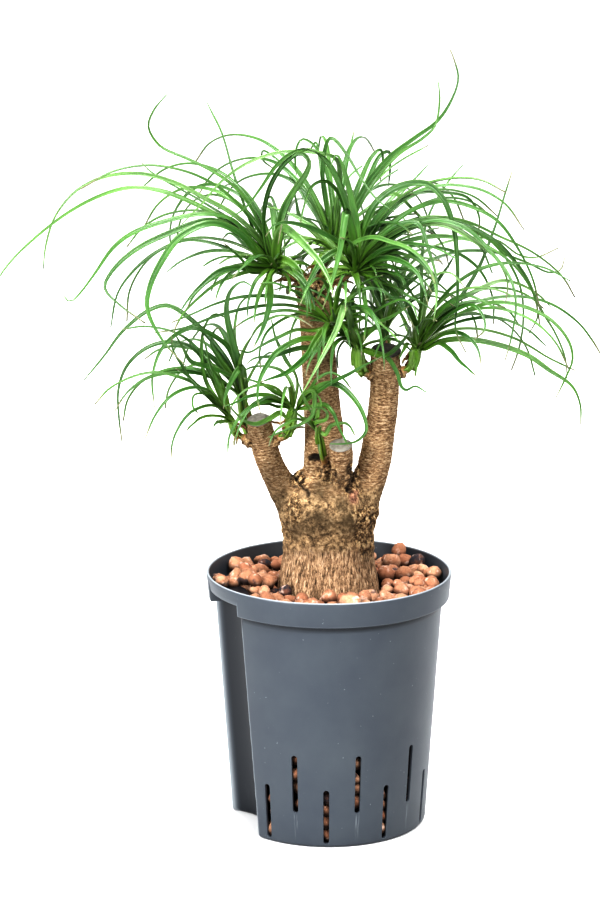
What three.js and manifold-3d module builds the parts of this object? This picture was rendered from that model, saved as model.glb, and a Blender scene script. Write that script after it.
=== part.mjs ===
// Potted ponytail palm in a plastic culture pot filled with expanded clay.
// Millimetres, +Z up. The origin is the centre of the pot's underside, and the
// front of the plant faces -Y. Every piece is its own closed solid.
import * as THREE from 'three';
import { mergeVertices } from 'three/addons/utils/BufferGeometryUtils.js';
import Module from 'manifold-3d';

const wasm = await Module();
wasm.setup();

// ---- driving dimensions -------------------------------------------------

const POT_HEIGHT = 190;
const RIM_RADIUS = 90;
const BASE_RADIUS = 72;
const SHOULDER_RADIUS = 83.5; // outside of the wall just under the rim
const SHOULDER_HEIGHT = 171; // where the wall steps out to the rim
const WAIST_HEIGHT = 87;
const WALL = 2.2;
const FLOOR = 3;
const BASE_ROUNDING = 3;
const RIM_LIP = 1.6;
const RIM_DRAFT = 1.5; // the rim is this much narrower at its foot

const GAUGE_AZIMUTH = 199.5; // the flute for a water gauge, left of the front
const FLUTE_CENTRE = 1.26; // distance of its axis, in wall radii
const GAUGE_RADIUS = 40; // the gauge's round shaft is straight, and the wall tapers
const NOTCH_HEIGHT = 179; // the rim is cut back to here over the flute
const NOTCH_FROM = -7; // degrees from the flute's middle
const NOTCH_TO = 19;

const SLOT_WIDTH = 4;
const SLOT_PITCH = 17.7; // degrees
const SLOT_FIRST = -126.6;
const SLOT_COUNT = 17;
const SLOT_ROWS = [[3.2, 41.5], [26.5, 44]]; // foot and length of the low and the high slots

const CLEARANCE = 0.6; // between pieces that touch in the real plant
const BED_TOP = 173;
const PEBBLE_COUNT = 58;
const PEBBLE_RADIUS = [7, 9];
const PEBBLE_RISE = [1, 3.5]; // of a pebble's middle over the bed
const PEBBLE_STRETCH = [0.82, 1.08];
const PEBBLE_FLAT = 0.9;
const PEBBLE_GAP = 1.5; // from the pebbles to the wall and to the trunk
const PEBBLE_SEED = 7;

const TRUNK_FOOT = 152; // hidden in the clay
const TRUNK_WIDEST = 172; // where the part of the base in the clay is widest
const HOLE_GAP = 1;
const HOLE_TOP = 203;
const RING_RELIEF = 0.55; // leaf scars round the limbs
const CAP_THICKNESS = 1.6;
const CAP_EDGE = 0.5; // height of the cap's widest ring
const CAP_DOME = 0.7; // its top is this much narrower, and rises the last 0.4 mm
const CAP_GAP = 0.4;

const EYE_DISTANCE = 2400; // the standing viewer who sees the plant's front
const EYE_HEIGHT = 865;

const BLADE_KEEL = 0.95; // thickness of a leaf blade
const BLADE_FACET = 60; // length of one facet of a straight blade
const BLADE_BEND = 1; // facets for each radian that a blade bends
const BLADE_FACETS = [3, 8];
const BLADE_SAMPLES = 60;
const BLADE_ROOT = 0.45; // a blade's width at its sunk root, of its full width
const BLADE_SPREAD = 0.14; // share of its length over which it widens
const BLADE_TAPER = 0.55;
const BLADE_THREAD = 1.1; // width of its tip
const BLADE_TWIST = 0.4; // of its face angle, added by its tip
const STEM_SHAPE = [0.72, 0.9, 1.1, 1.5, 1.55]; // radii up the stem, in stem radii
const STEM_SIDES = 8;

const PROBE_STEP = 3; // spacing of the points that test for clearance
const LIMB_PROBES = 40;
const LIMB_ROOM = 0.6;
const STEM_ROOM = 1.12; // in stem radii
const LEAF_GAP = 0.5;
const DEPTH_SWINGS = [0, -10, 10, -20, 20, -35, 35, -50, 50, -70, 70, -95, 95];

const FILL_SEED = 20240611; // leaves added by rule, in degrees and millimetres
const FILL_ATTEMPTS = 8;
const FILL_LIFT = [35, 80];
const FILL_DROOP = [95, 150];
const FILL_SWERVE = [-40, 40];
const FILL_WIDTH = [4.5, 7];
const FILL_FACE = [-20, 20];
const ARCH_STEPS = 7;
const ARCH_POWER = 1.25;

const LIMBS = {
  // [x, y, z, radius] up each limb's middle line
  middle: [
    [-3, 3, 236, 17], [-4, 2, 262, 15], [-4, 2, 282, 14.2], [-4, 3, 300, 13.8],
    [-6, 3, 322, 13.1], [-7.5, 3, 345, 12.5], [-9, 3, 368, 12], [-11, 3, 392, 12.3], [-12, 3, 402, 11.6],
  ],
  left: [
    [-20, 0, 228, 14], [-26.5, -1.5, 240, 12], [-34, -5, 254, 11], [-41, -8.5, 268, 9.9],
    [-46.3, -12.5, 284, 9.4], [-49.5, -15.6, 298, 9.4], [-50.9, -18.8, 307, 8.6],
  ],
  right: [
    [18, 0, 226, 14], [22.3, 0, 240, 12.7], [28.8, 0, 255, 12.1], [33.8, -1, 275, 11.4],
    [36.8, -2, 296, 10.9], [39.6, -4, 320, 10.5], [40.2, -5.2, 340, 10.5], [40.8, -10.2, 356.5, 10.9],
  ],
  front: [
    [5, -12, 246, 8.4], [8.6, -18.5, 261, 7.8], [9.2, -23.5, 273, 8.1], [8.7, -27.6, 284, 8.7],
    [8.3, -30.4, 291, 8.3],
  ],
};
const CAUDEX = [
  // [z, radius] of the swollen base
  [TRUNK_FOOT, 30], [160, 36], [172, 39], [182, 37.5], [192, 35.5], [204, 33.5], [215, 32.6],
  [225, 34.5], [234, 36.6], [243, 36.2], [251, 32], [258, 25], [263, 15],
];
const LIMB_FACETS = { middle: [20, 13], left: [11, 12], right: [16, 12], front: [6, 12] }; // rings, sides
const CAUDEX_SIDES = 26;
const CAUDEX_FLAT = 0.93; // front to back, against side to side
const CAUDEX_LOBES = 0.035;
const LOBE_LEAN = 0.02; // radians for each millimetre up

// Each shoot: its foot on the limb [x, y, z], the way it leaves the limb, its heart
// [across, up, depth], its stem's radius, its leaves, and how many more leaves a
// rule adds, with their azimuths round it and their lengths. A leaf is
// [width, face, depth of its tip, [[across, up], ...]]. Across and up are read on
// the plane through the pot's axis, depth is behind that plane, and face turns
// the blade about its own line.
const SHOOTS = [
  {
    name: 'crown_left',
    foot: [-17.5, 1, 406], leave: [-0.6, -0.1, 0.8], heart: [-38, 415, -10], stem: 4.5, fill: 9,
    around: [70, 200], reach: [120, 190],
    leaves: [
      [5.5, 20, -15, [[-47, 440], [-58, 462], [-72, 477], [-100, 494], [-121, 504], [-129, 517],
        [-125, 529], [-116, 540]]],
      [3.5, 20, 45, [[-52, 438], [-60, 458], [-69, 485], [-77, 512], [-87, 534]]],
      [3.5, 30, 65, [[-50, 434], [-72, 451], [-92, 464], [-112, 475], [-128, 485], [-134, 491]]],
      [5, 25, 15, [[-50, 436], [-70, 455], [-90, 466], [-110, 476], [-135, 483], [-160, 481], [-182, 470],
        [-197, 452], [-204, 430], [-206, 414]]],
      [6.5, 15, -30, [[-50, 430], [-70, 447], [-95, 461], [-120, 471], [-142, 473], [-165, 467],
        [-190, 454], [-218, 431], [-236, 411], [-243, 398]]],
      [7, 25, -65, [[-52, 430], [-68, 449], [-85, 454], [-115, 450], [-140, 441], [-155, 429],
        [-170, 409], [-181, 395], [-187, 390], [-191, 394]]],
      [7, 25, -90, [[-50, 426], [-66, 441], [-85, 450], [-115, 440], [-142, 426], [-158, 410],
        [-162, 400], [-152, 388], [-133, 374]]],
      [8, 50, -125, [[-50, 424], [-64, 440], [-85, 448], [-106, 439], [-122, 419], [-130, 400],
        [-131, 385], [-120, 361], [-104, 343]]],
      [5, 20, 30, [[-50, 418], [-68, 427], [-85, 433], [-104, 435], [-125, 426], [-143, 410], [-153, 395],
        [-158, 371]]],
      [7, 35, -80, [[-50, 414], [-66, 415], [-80, 412], [-92, 402], [-102, 391], [-109, 381]]],
      [5, 20, 85, [[-46, 440], [-56, 460], [-70, 472], [-86, 476], [-99, 472], [-110, 458], [-115, 440],
        [-114, 428]]],
      [6, 30, -50, [[-44, 425], [-47, 450], [-43, 473], [-33, 490], [-21, 498], [-15, 492], [-18, 480],
        [-28, 465], [-34, 448], [-37, 432]]],
      [7, 40, -100, [[-43, 410], [-43, 395], [-45, 380], [-50, 366], [-55, 356]]],
      [6, 60, 60, [[-36, 436], [-38, 455], [-42, 467], [-48, 462]]],
      [5, 40, 45, [[-52, 424], [-62, 434], [-72, 440], [-77, 436]]],
      [4, 40, -55, [[-56, 412], [-62, 420], [-70, 428], [-76, 433]]],
    ],
  },
  {
    name: 'crown_right',
    foot: [-6, -2, 406], leave: [0.6, -0.2, 0.8], heart: [18, 412, -8], stem: 5, fill: 10,
    around: [-40, 90], reach: [120, 180],
    leaves: [
      [6.5, 20, -40, [[18, 440], [10, 468], [-2, 492], [-14, 500], [-26, 498], [-38, 489], [-50, 472],
        [-60, 459], [-72, 451]]],
      [7, 50, -65, [[10, 430], [-6, 441], [-28, 448], [-40, 446], [-46, 438]]],
      [8, 75, -90, [[17, 436], [12, 456], [9, 440], [6, 420], [1, 402], [-5, 385]]],
      [7.5, 60, -110, [[6, 412], [-6, 418], [-18, 432], [-30, 446], [-36, 440]]],
      [8, 60, -25, [[20, 440], [15, 470], [9, 490], [5, 497], [0, 488]]],
      [7, 30, -50, [[22, 436], [33, 462], [50, 475], [68, 477], [80, 467], [88, 447], [92, 420],
        [92, 390], [91, 370], [99, 353]]],
      [7, 20, 15, [[24, 434], [36, 455], [60, 469], [85, 470], [99, 466], [107, 452], [106, 437]]],
      [5, 25, -25, [[28, 430], [48, 450], [65, 460], [82, 464], [100, 461], [120, 450], [135, 430],
        [146, 408], [152, 384]]],
      [7.5, 25, -60, [[28, 426], [45, 440], [62, 447], [85, 446], [105, 435], [120, 422], [128, 405],
        [127, 390]]],
      [5, 30, -80, [[28, 424], [48, 440], [75, 450], [100, 443], [118, 425], [130, 407], [134, 388],
        [131, 362], [127, 347]]],
      [4.5, 30, 35, [[30, 430], [55, 447], [85, 451], [110, 440], [128, 420], [138, 398], [140, 375],
        [137, 355], [132, 340]]],
      [4.5, 20, 70, [[30, 432], [60, 450], [95, 450], [125, 437], [150, 424], [168, 409], [177, 394]]],
      [4.5, 30, -15, [[28, 428], [55, 448], [90, 449], [118, 436], [135, 418], [146, 398], [150, 380],
        [144, 367]]],
      [5, 30, 55, [[30, 426], [65, 446], [100, 443], [125, 428], [140, 410], [152, 385], [164, 366],
        [171, 348], [172, 334]]],
      [6.5, 30, -85, [[26, 416], [36, 422], [52, 420], [62, 412], [68, 400], [71, 388]]],
      [6, 30, -105, [[24, 418], [36, 428], [50, 431], [62, 423], [72, 412], [76, 404]]],
      [5, 30, -70, [[26, 420], [45, 432], [65, 433], [80, 428], [91, 422]]],
      [5.5, 35, -120, [[14, 430], [30, 438], [45, 434], [60, 427], [73, 413], [77, 395], [75, 376]]],
      [5, 30, -80, [[22, 404], [26, 392], [27, 378], [25, 362]]],
      [5, 30, -65, [[28, 430], [50, 447], [64, 447], [71, 428], [77, 405], [76, 380]]],
      [6, 30, 30, [[24, 440], [36, 466], [46, 469], [60, 457], [72, 445], [82, 430], [86, 415]]],
    ],
  },
  {
    name: 'crown_back',
    foot: [-11, 6, 406], leave: [0.2, 0.5, 0.8], heart: [2, 428, 16], stem: 4.5, fill: 10,
    around: [20, 160], reach: [120, 190],
    leaves: [
      [6.5, 15, 90, [[3, 455], [0, 482], [-3, 507], [-6, 511], [-8, 498]]],
      [5, 70, 60, [[0, 450], [-5, 478], [-10, 506], [-15, 498]]],
      [4.5, 30, -35, [[-2, 455], [-5, 485], [0, 509], [12, 497], [22, 481], [34, 465], [46, 456]]],
      [5.5, 30, 35, [[12, 450], [26, 475], [42, 495], [60, 509], [75, 520], [85, 534], [91, 552],
        [88, 565], [85, 572]]],
      [5, 35, 10, [[14, 448], [30, 475], [48, 497], [66, 509], [75, 518], [78, 535], [77, 549]]],
      [6, 60, 75, [[12, 452], [22, 478], [30, 496], [36, 501], [38, 490], [36, 478]]],
      [6, 55, 100, [[14, 452], [27, 478], [36, 497], [42, 499], [43, 488], [42, 474]]],
      [3.5, 30, 75, [[16, 450], [30, 474], [45, 489], [70, 504]]],
      [3, 30, 100, [[18, 444], [35, 452], [52, 470], [70, 490]]],
      [5, 20, -45, [[6, 450], [7, 478], [4, 494], [-15, 499], [-38, 498], [-60, 490], [-78, 477],
        [-92, 461], [-106, 447]]],
      [4, 40, 35, [[2, 460], [-4, 490], [-12, 504], [-20, 508], [-24, 500], [-24, 482]]],
      [4, 30, 115, [[-8, 450], [-22, 472], [-36, 492], [-48, 500], [-48, 494], [-40, 487]]],
      [5, 30, -75, [[12, 446], [8, 466], [-3, 478], [-13, 474], [-19, 458], [-21, 444]]],
      [6, 60, 50, [[-10, 440], [-20, 450], [-25, 468], [-27, 472]]],
    ],
  },
  {
    name: 'crown_low',
    foot: [-3.8, -9.4, 366], leave: [0.5, -0.8, 0.3], heart: [3, 373, -20], stem: 3.6, fill: 5,
    around: [180, 300], reach: [80, 130],
    leaves: [
      [5.5, 20, -35, [[-12, 380], [-30, 384], [-48, 382], [-60, 377], [-69, 371]]],
      [4.5, 20, -25, [[-12, 383], [-30, 388], [-55, 387], [-80, 380], [-105, 371], [-128, 367]]],
      [4.5, 20, -15, [[-15, 388], [-35, 394], [-60, 394], [-82, 389], [-100, 381], [-114, 375]]],
      [5.5, 20, -55, [[-10, 369], [-24, 369], [-38, 364], [-50, 357], [-58, 353], [-66, 355]]],
      [7, 45, -90, [[-8, 364], [-20, 363], [-32, 358], [-42, 349], [-49, 337], [-52, 320], [-50, 308]]],
      [7.5, 50, -100, [[-4, 370], [-10, 362], [-16, 351], [-28, 340], [-44, 333], [-50, 331]]],
      [6, 50, -45, [[-8, 358], [-22, 356], [-40, 351], [-55, 348], [-60, 344]]],
      [5, 30, -45, [[8, 388], [18, 396], [30, 400], [42, 396], [54, 385], [62, 370]]],
      [4.5, 30, -80, [[14, 373], [28, 381], [42, 389], [52, 392], [60, 388], [64, 377]]],
      [4, 30, -100, [[10, 384], [22, 385], [30, 381], [40, 372], [50, 362]]],
      [5, 30, -40, [[-8, 384], [-22, 396], [-38, 404], [-50, 404]]],
    ],
  },
  {
    name: 'shoot_right_inner',
    foot: [28.3, -11.3, 340], leave: [-0.75, -0.45, 0.45], heart: [21, 356, -18], stem: 4, fill: 4,
    around: [150, 260], reach: [70, 120],
    leaves: [
      [8, 60, -90, [[16, 372], [12, 388], [6, 372], [-2, 356], [-10, 340], [-20, 322]]],
      [9, 70, -35, [[18, 370], [16, 386], [17, 399], [20, 404]]],
      [7, 70, -40, [[14, 368], [14, 380], [15, 388]]],
      [7, 60, -55, [[14, 362], [8, 370], [4, 378], [2, 386]]],
      [8, 50, -100, [[24, 364], [34, 373], [46, 380], [57, 387]]],
      [6, 45, -75, [[27, 354], [37, 351], [48, 356], [55, 364], [59, 372]]],
      [5, 40, -60, [[33, 353], [42, 350], [48, 340], [53, 327], [56, 325], [62, 328], [70, 324]]],
    ],
  },
  {
    name: 'shoot_right_outer',
    foot: [53, -9.2, 341.5], leave: [0.8, -0.2, 0.55], heart: [63, 356, -12], stem: 4.2, fill: 7,
    around: [-60, 70], reach: [90, 150],
    leaves: [
      [5, 20, 5, [[72, 370], [88, 384], [110, 392], [135, 395], [158, 390], [178, 377], [190, 362],
        [198, 349]]],
      [6, 25, -45, [[74, 368], [95, 382], [118, 390], [140, 387], [160, 378], [173, 362], [176, 348],
        [171, 334], [164, 319]]],
      [4.5, 20, 45, [[74, 364], [90, 370], [110, 370], [135, 363], [158, 350], [178, 340]]],
      [7, 30, -25, [[72, 359], [90, 363], [115, 361], [140, 353], [160, 340], [176, 328], [182, 315],
        [183, 300]]],
      [6, 30, -70, [[72, 360], [84, 367], [96, 367], [105, 360], [109, 350], [109, 343]]],
      [6, 40, -75, [[70, 356], [79, 360], [88, 354], [96, 345], [106, 336]]],
      [5, 30, -50, [[66, 372], [70, 395], [78, 411], [88, 411], [98, 400]]],
      [6, 40, 30, [[70, 372], [84, 388], [100, 396], [122, 406], [135, 404], [150, 396], [160, 386]]],
      [5.5, 30, -50, [[70, 368], [82, 386], [97, 395], [108, 392], [118, 387], [126, 387]]],
      [5.5, 35, -90, [[72, 366], [88, 382], [103, 388], [111, 379], [112, 370], [105, 363]]],
      [4.5, 20, 60, [[78, 376], [95, 395], [108, 416], [118, 442], [125, 468], [130, 485]]],
      [6.5, 60, 20, [[66, 376], [72, 396], [82, 412], [90, 425]]],
      [6.5, 50, -75, [[62, 372], [57, 388], [48, 394], [40, 392]]],
      [5, 50, -75, [[59, 364], [56, 374], [50, 372]]],
      [4, 30, -50, [[63, 348], [63, 342], [62, 335]]],
      [3.5, 20, 100, [[66, 390], [66, 420], [70, 450], [82, 474], [95, 490]]],
    ],
  },
  {
    name: 'shoot_right_back',
    foot: [41, 8, 342], leave: [0, 0.75, 0.6], heart: [40, 370, 18], stem: 4, fill: 8,
    around: [30, 150], reach: [90, 150],
    leaves: [
      [5, 25, 75, [[48, 395], [62, 414], [88, 426], [115, 427], [140, 420], [158, 412], [166, 414],
        [169, 424]]],
      [3.5, 20, 100, [[46, 400], [70, 428], [98, 437], [120, 436], [136, 425], [148, 423], [164, 430]]],
      [6, 70, 50, [[38, 392], [35, 410], [32, 425], [30, 436]]],
      [7, 70, 60, [[40, 395], [40, 415], [42, 430]]],
      [6, 50, 35, [[45, 390], [55, 402], [68, 411], [78, 410]]],
      [4, 40, 90, [[46, 392], [54, 412], [58, 432], [52, 455]]],
    ],
  },
  {
    name: 'shoot_left_outer',
    foot: [-60.6, -14.5, 292.5], leave: [-0.8, -0.1, 0.5], heart: [-71, 303, -20], stem: 3.6, fill: 4,
    around: [150, 250], reach: [80, 130],
    leaves: [
      [5.5, 30, -35, [[-83, 315], [-96, 328], [-106, 342], [-113, 355], [-114, 365]]],
      [5, 30, -60, [[-80, 312], [-92, 325], [-102, 335], [-111, 341]]],
      [5.5, 25, 20, [[-78, 318], [-86, 338], [-97, 355], [-115, 361], [-132, 357], [-146, 344],
        [-153, 325], [-153, 305], [-151, 286]]],
      [5, 30, -5, [[-80, 316], [-89, 332], [-92, 352], [-90, 372], [-83, 381], [-74, 378]]],
      [5.5, 40, -45, [[-76, 315], [-81, 330], [-87, 348], [-91, 364]]],
      [6, 40, -75, [[-76, 302], [-82, 301], [-84, 298]]],
      [3.5, 30, -55, [[-80, 314], [-90, 322], [-98, 321], [-99, 313], [-95, 307]]],
    ],
  },
  {
    name: 'shoot_left_back',
    foot: [-54.4, -3.2, 290], leave: [-0.45, 0.6, 0.6], heart: [-63, 320, -4], stem: 4, fill: 6,
    around: [90, 190], reach: [90, 150],
    leaves: [
      [8, 60, -25, [[-66, 345], [-72, 368], [-74, 388], [-70, 400], [-62, 405], [-54, 400]]],
      [8, 75, -40, [[-62, 334], [-63, 341], [-69, 335], [-75, 322], [-77, 311]]],
      [6, 25, 30, [[-70, 340], [-82, 358], [-100, 377], [-116, 387], [-130, 384], [-148, 370],
        [-163, 350], [-178, 332]]],
      [6, 30, -25, [[-68, 345], [-76, 360], [-98, 371], [-111, 366], [-122, 354], [-128, 335],
        [-127, 312]]],
      [6.5, 50, -55, [[-70, 335], [-85, 341], [-100, 347], [-106, 357], [-112, 367]]],
      [6.5, 60, -10, [[-70, 335], [-79, 348], [-85, 361], [-82, 370], [-77, 371]]],
      [6, 50, 30, [[-66, 342], [-73, 358], [-80, 372]]],
      [5, 30, -55, [[-65, 340], [-60, 358], [-50, 373], [-37, 380], [-24, 379], [-12, 372]]],
      [4, 30, 70, [[-67, 350], [-68, 370], [-65, 387], [-60, 393], [-50, 396]]],
    ],
  },
  {
    name: 'shoot_left_inner',
    foot: [-36.4, -16.5, 293], leave: [0.8, -0.3, 0.5], heart: [-26, 311, -24], stem: 3.6, fill: 4,
    around: [210, 330], reach: [60, 100],
    leaves: [
      [6, 45, -85, [[-14, 323], [-4, 329], [6, 329], [17, 320], [25, 307], [27, 295], [20, 287],
        [10, 285], [1, 285]]],
      [5, 45, -75, [[-18, 322], [-12, 324], [-10, 316], [-12, 306], [-20, 300], [-32, 295], [-44, 290]]],
      [5, 45, -60, [[-14, 312], [-4, 314], [3, 308], [7, 298], [14, 283]]],
      [6, 35, -60, [[-36, 318], [-48, 322], [-60, 320], [-70, 315], [-76, 313]]],
      [4.5, 30, -45, [[-36, 313], [-48, 314.5], [-59, 312]]],
      [5, 35, -30, [[-36, 322], [-48, 329], [-62, 334]]],
      [4, 35, -5, [[-27, 330], [-34, 339], [-46, 343], [-56, 342], [-63, 339]]],
      [6, 40, -95, [[-30, 305], [-36, 308], [-44, 303], [-52, 299.5], [-60, 301], [-67, 307],
        [-73, 314]]],
      [4.5, 40, -45, [[-14, 326], [-7, 335], [2, 338], [10, 334], [16, 326]]],
      [5.5, 40, -75, [[-14, 320], [0, 330], [15, 338], [30, 346], [38, 350]]],
      [6, 40, -30, [[-24, 330], [-30, 346], [-38, 362], [-42, 377]]],
    ],
  },
  {
    name: 'shoot_front',
    foot: [-3.2, -15.2, 275], leave: [-0.2, -0.6, 0.7], heart: [-8, 294, -34], stem: 3, fill: 1,
    around: [200, 260], reach: [40, 60],
    leaves: [
      [4.5, 40, -55, [[-3, 292], [1, 298], [8, 301], [15, 298], [19, 291]]],
      [5, 50, -40, [[-12, 308], [-18, 318], [-22, 330]]],
      [4.5, 50, -60, [[-12, 300], [-3, 303], [-2, 309], [-8, 312], [-14, 311]]],
      [5, 50, -35, [[-8, 308], [-6, 316], [-9, 322]]],
      [4.5, 40, -55, [[-14, 302], [-20, 305], [-26, 311]]],
    ],
  },
];

// ---- finishes -----------------------------------------------------------

const finish = (color, roughness) => new THREE.MeshStandardMaterial({ color, roughness, metalness: 0 });
const POT_PLASTIC = finish(0x5c6872, 0.5);
const BARK = finish(0xa58a68, 0.9);
const CLAY = finish(0xc27f62, 0.95);
const WAX = finish(0x86827c, 0.6);
const LEAF = finish(0x3f8a3c, 0.45);

// ---- shared tools -------------------------------------------------------

/** A seeded stream of numbers from 0 to 1. */
function draws(seed) {
  let state = seed;
  return () => {
    state = (Math.imul(state, 1664525) + 1013904223) >>> 0;
    return state / 4294967296;
  };
}

const between = (pair, share) => pair[0] + (pair[1] - pair[0]) * share;

/** Turns a list of points and triangles into a solid whose faces point out. */
function solidOf(points, triangles) {
  const at = (index) => new THREE.Vector3(...points[index]);
  let volume = 0;
  for (const [a, b, c] of triangles) volume += at(a).dot(at(b).cross(at(c)));
  const outward = volume > 0 ? triangles : triangles.map(([a, b, c]) => [a, c, b]);
  return new wasm.Manifold(new wasm.Mesh({
    numProp: 3,
    vertProperties: new Float32Array(points.flat()),
    triVerts: new Uint32Array(outward.flat()),
  }));
}

/** A solid from a three.js geometry, turned and set in place by a matrix. */
function solidFrom(geometry, matrix) {
  const plain = geometry.clone().applyMatrix4(matrix);
  plain.deleteAttribute('normal');
  plain.deleteAttribute('uv');
  const merged = mergeVertices(plain, 1e-4);
  return new wasm.Manifold(new wasm.Mesh({
    numProp: 3,
    vertProperties: merged.attributes.position.array,
    triVerts: new Uint32Array(merged.index.array),
  }));
}

/** The biggest connected body: fused hollows are filled and loose scraps go. */
function wholeBody(solid) {
  return solid.decompose().reduce((best, next) => (next.volume() > best.volume() ? next : best));
}

/** Rows of points round an axis, closed by a point at each end. */
function turned(rows, columns, place) {
  const points = [place(0, 0)];
  for (let row = 1; row < rows - 1; row += 1) {
    for (let column = 0; column < columns; column += 1) points.push(place(row, column));
  }
  points.push(place(rows - 1, 0));
  const index = (row, column) => 1 + (row - 1) * columns + (column % columns);
  const triangles = [];
  for (let column = 0; column < columns; column += 1) {
    triangles.push([0, index(1, column + 1), index(1, column)]);
    triangles.push([points.length - 1, index(rows - 2, column), index(rows - 2, column + 1)]);
    for (let row = 1; row < rows - 2; row += 1) {
      triangles.push([index(row, column), index(row, column + 1), index(row + 1, column + 1)]);
      triangles.push([index(row, column), index(row + 1, column + 1), index(row + 1, column)]);
    }
  }
  return solidOf(points, triangles);
}

/** A smooth line through points, with evenly spaced samples. */
function smoothLine(points, count) {
  return new THREE.CatmullRomCurve3(points, false, 'catmullrom', 0.5).getSpacedPoints(count);
}

// ---- pot ----------------------------------------------------------------

const wallRadius = (z) => BASE_RADIUS + ((SHOULDER_RADIUS - BASE_RADIUS) * z) / SHOULDER_HEIGHT;

/** Distance from the axis to the wall at an azimuth, with the flute pressed in. */
function flutedRadius(radius, z, offset, wall) {
  const centre = FLUTE_CENTRE * wallRadius(z);
  const bite = GAUGE_RADIUS + wall;
  const turn = THREE.MathUtils.degToRad(offset);
  const side = centre * Math.sin(turn);
  if (Math.abs(turn) > Math.PI / 2 || Math.abs(side) >= bite) return radius;
  return Math.min(radius, centre * Math.cos(turn) - Math.sqrt(bite * bite - side * side));
}

/** Azimuths of the pot's facets, in degrees from the flute's middle. */
function potColumns() {
  const back = [-29, -26.5, -24.6, -22.8, -21.2, -19.5, -16.5, -12.5];
  const flute = back.concat([-8, -6, 0, 6, 12, 16, 18.5, 19.6, 21.2, 22.8, 24.6, 26.5, 29]);
  const edge = flute[flute.length - 1];
  const facets = 26;
  const round = [];
  for (let step = 1; step < facets; step += 1) round.push(edge + ((360 - 2 * edge) * step) / facets);
  return flute.concat(round);
}
const COLUMNS = potColumns();

const inNotch = (offset) => offset >= NOTCH_FROM && offset <= NOTCH_TO;

function aroundPot(radius, offset, z) {
  const azimuth = THREE.MathUtils.degToRad(GAUGE_AZIMUTH + offset);
  return [radius * Math.cos(azimuth), radius * Math.sin(azimuth), z];
}

/** The pot's section from the middle of its underside to the middle of its floor. */
function potSection(offset) {
  const step = inNotch(offset) ? NOTCH_HEIGHT : SHOULDER_HEIGHT;
  const rimFoot = RIM_RADIUS - RIM_DRAFT;
  const outside = (z, inset) => [flutedRadius(wallRadius(z) - inset, z, offset, inset), z];
  return [
    [0, 0],
    [outside(0, BASE_ROUNDING)[0], 0],
    outside(BASE_ROUNDING, 0),
    outside(WAIST_HEIGHT, 0),
    outside(step, 0),
    [rimFoot, step],
    [RIM_RADIUS, POT_HEIGHT - RIM_LIP],
    [RIM_RADIUS - RIM_LIP / 3, POT_HEIGHT],
    [RIM_RADIUS - RIM_LIP, POT_HEIGHT],
    [RIM_RADIUS - WALL, POT_HEIGHT - RIM_LIP],
    [rimFoot - WALL, step + WALL],
    outside(step + WALL, WALL),
    outside(WAIST_HEIGHT, WALL),
    outside(FLOOR, WALL),
    [0, FLOOR],
  ];
}

function makePot() {
  const sections = COLUMNS.map(potSection);
  const shell = turned(sections[0].length, COLUMNS.length, (row, column) => {
    const [radius, z] = sections[column][row];
    return aroundPot(radius, COLUMNS[column], z);
  });
  const slots = [];
  for (let slot = 0; slot < SLOT_COUNT; slot += 1) {
    const [foot, length] = SLOT_ROWS[slot % 2];
    const cutter = new THREE.BoxGeometry(4 * SLOT_WIDTH, SLOT_WIDTH, length);
    const middle = foot + length / 2;
    const azimuth = THREE.MathUtils.degToRad(SLOT_FIRST + SLOT_PITCH * slot);
    const matrix = new THREE.Matrix4().makeRotationZ(azimuth)
      .multiply(new THREE.Matrix4().makeTranslation(wallRadius(middle), 0, middle));
    slots.push(solidFrom(cutter, matrix));
  }
  return shell.subtract(wasm.Manifold.union(slots));
}

// ---- trunk --------------------------------------------------------------

/** Radius and height up the swollen base, by straight steps between its rows. */
function caudexRadius(z) {
  let row = 1;
  while (row < CAUDEX.length - 1 && CAUDEX[row][0] < z) row += 1;
  const [lowZ, low] = CAUDEX[row - 1];
  const [highZ, high] = CAUDEX[row];
  return low + ((high - low) * (z - lowZ)) / (highZ - lowZ);
}

/** The base's outline: four low lobes with seven finer ones, which lean as they climb. */
function caudexPoint(z, turn, grow) {
  const lean = z * LOBE_LEAN;
  const lobes = Math.cos(4 * turn + lean) + 0.6 * Math.cos(7 * turn - lean);
  const radius = caudexRadius(z) * (1 + CAUDEX_LOBES * lobes) + grow;
  return [radius * Math.cos(turn), radius * CAUDEX_FLAT * Math.sin(turn), z];
}

function makeCaudex() {
  return turned(CAUDEX.length + 2, CAUDEX_SIDES, (row, column) => {
    if (row === 0) return [0, 0, TRUNK_FOOT];
    if (row === CAUDEX.length + 1) return [0, 0, CAUDEX[CAUDEX.length - 1][0]];
    return caudexPoint(CAUDEX[row - 1][0], (2 * Math.PI * column) / CAUDEX_SIDES, 0);
  });
}

/** The plain hole in the clay that the swollen base stands in. */
function trunkHole() {
  const columns = CAUDEX_SIDES + 2;
  return turned(4, columns, (row, column) => {
    const z = row < 2 ? TRUNK_FOOT - CLEARANCE : HOLE_TOP;
    if (row === 0 || row === 3) return [0, 0, z];
    const [x, y] = caudexPoint(TRUNK_WIDEST, (2 * Math.PI * column) / columns, HOLE_GAP);
    return [x, y, z];
  });
}

/** The middle line and radius at even steps up a limb. */
function limbStations(limb, count) {
  const line = new THREE.CatmullRomCurve3(limb.map((row) => new THREE.Vector3(row[0], row[1], row[2])));
  const stations = [];
  for (let step = 0; step <= count; step += 1) {
    const share = step / count;
    const place = share * (limb.length - 1);
    const row = Math.min(Math.floor(place), limb.length - 2);
    const radius = limb[row][3] + (limb[row + 1][3] - limb[row][3]) * (place - row);
    stations.push({ centre: line.getPoint(share), along: line.getTangent(share), radius });
  }
  return stations;
}

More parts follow.
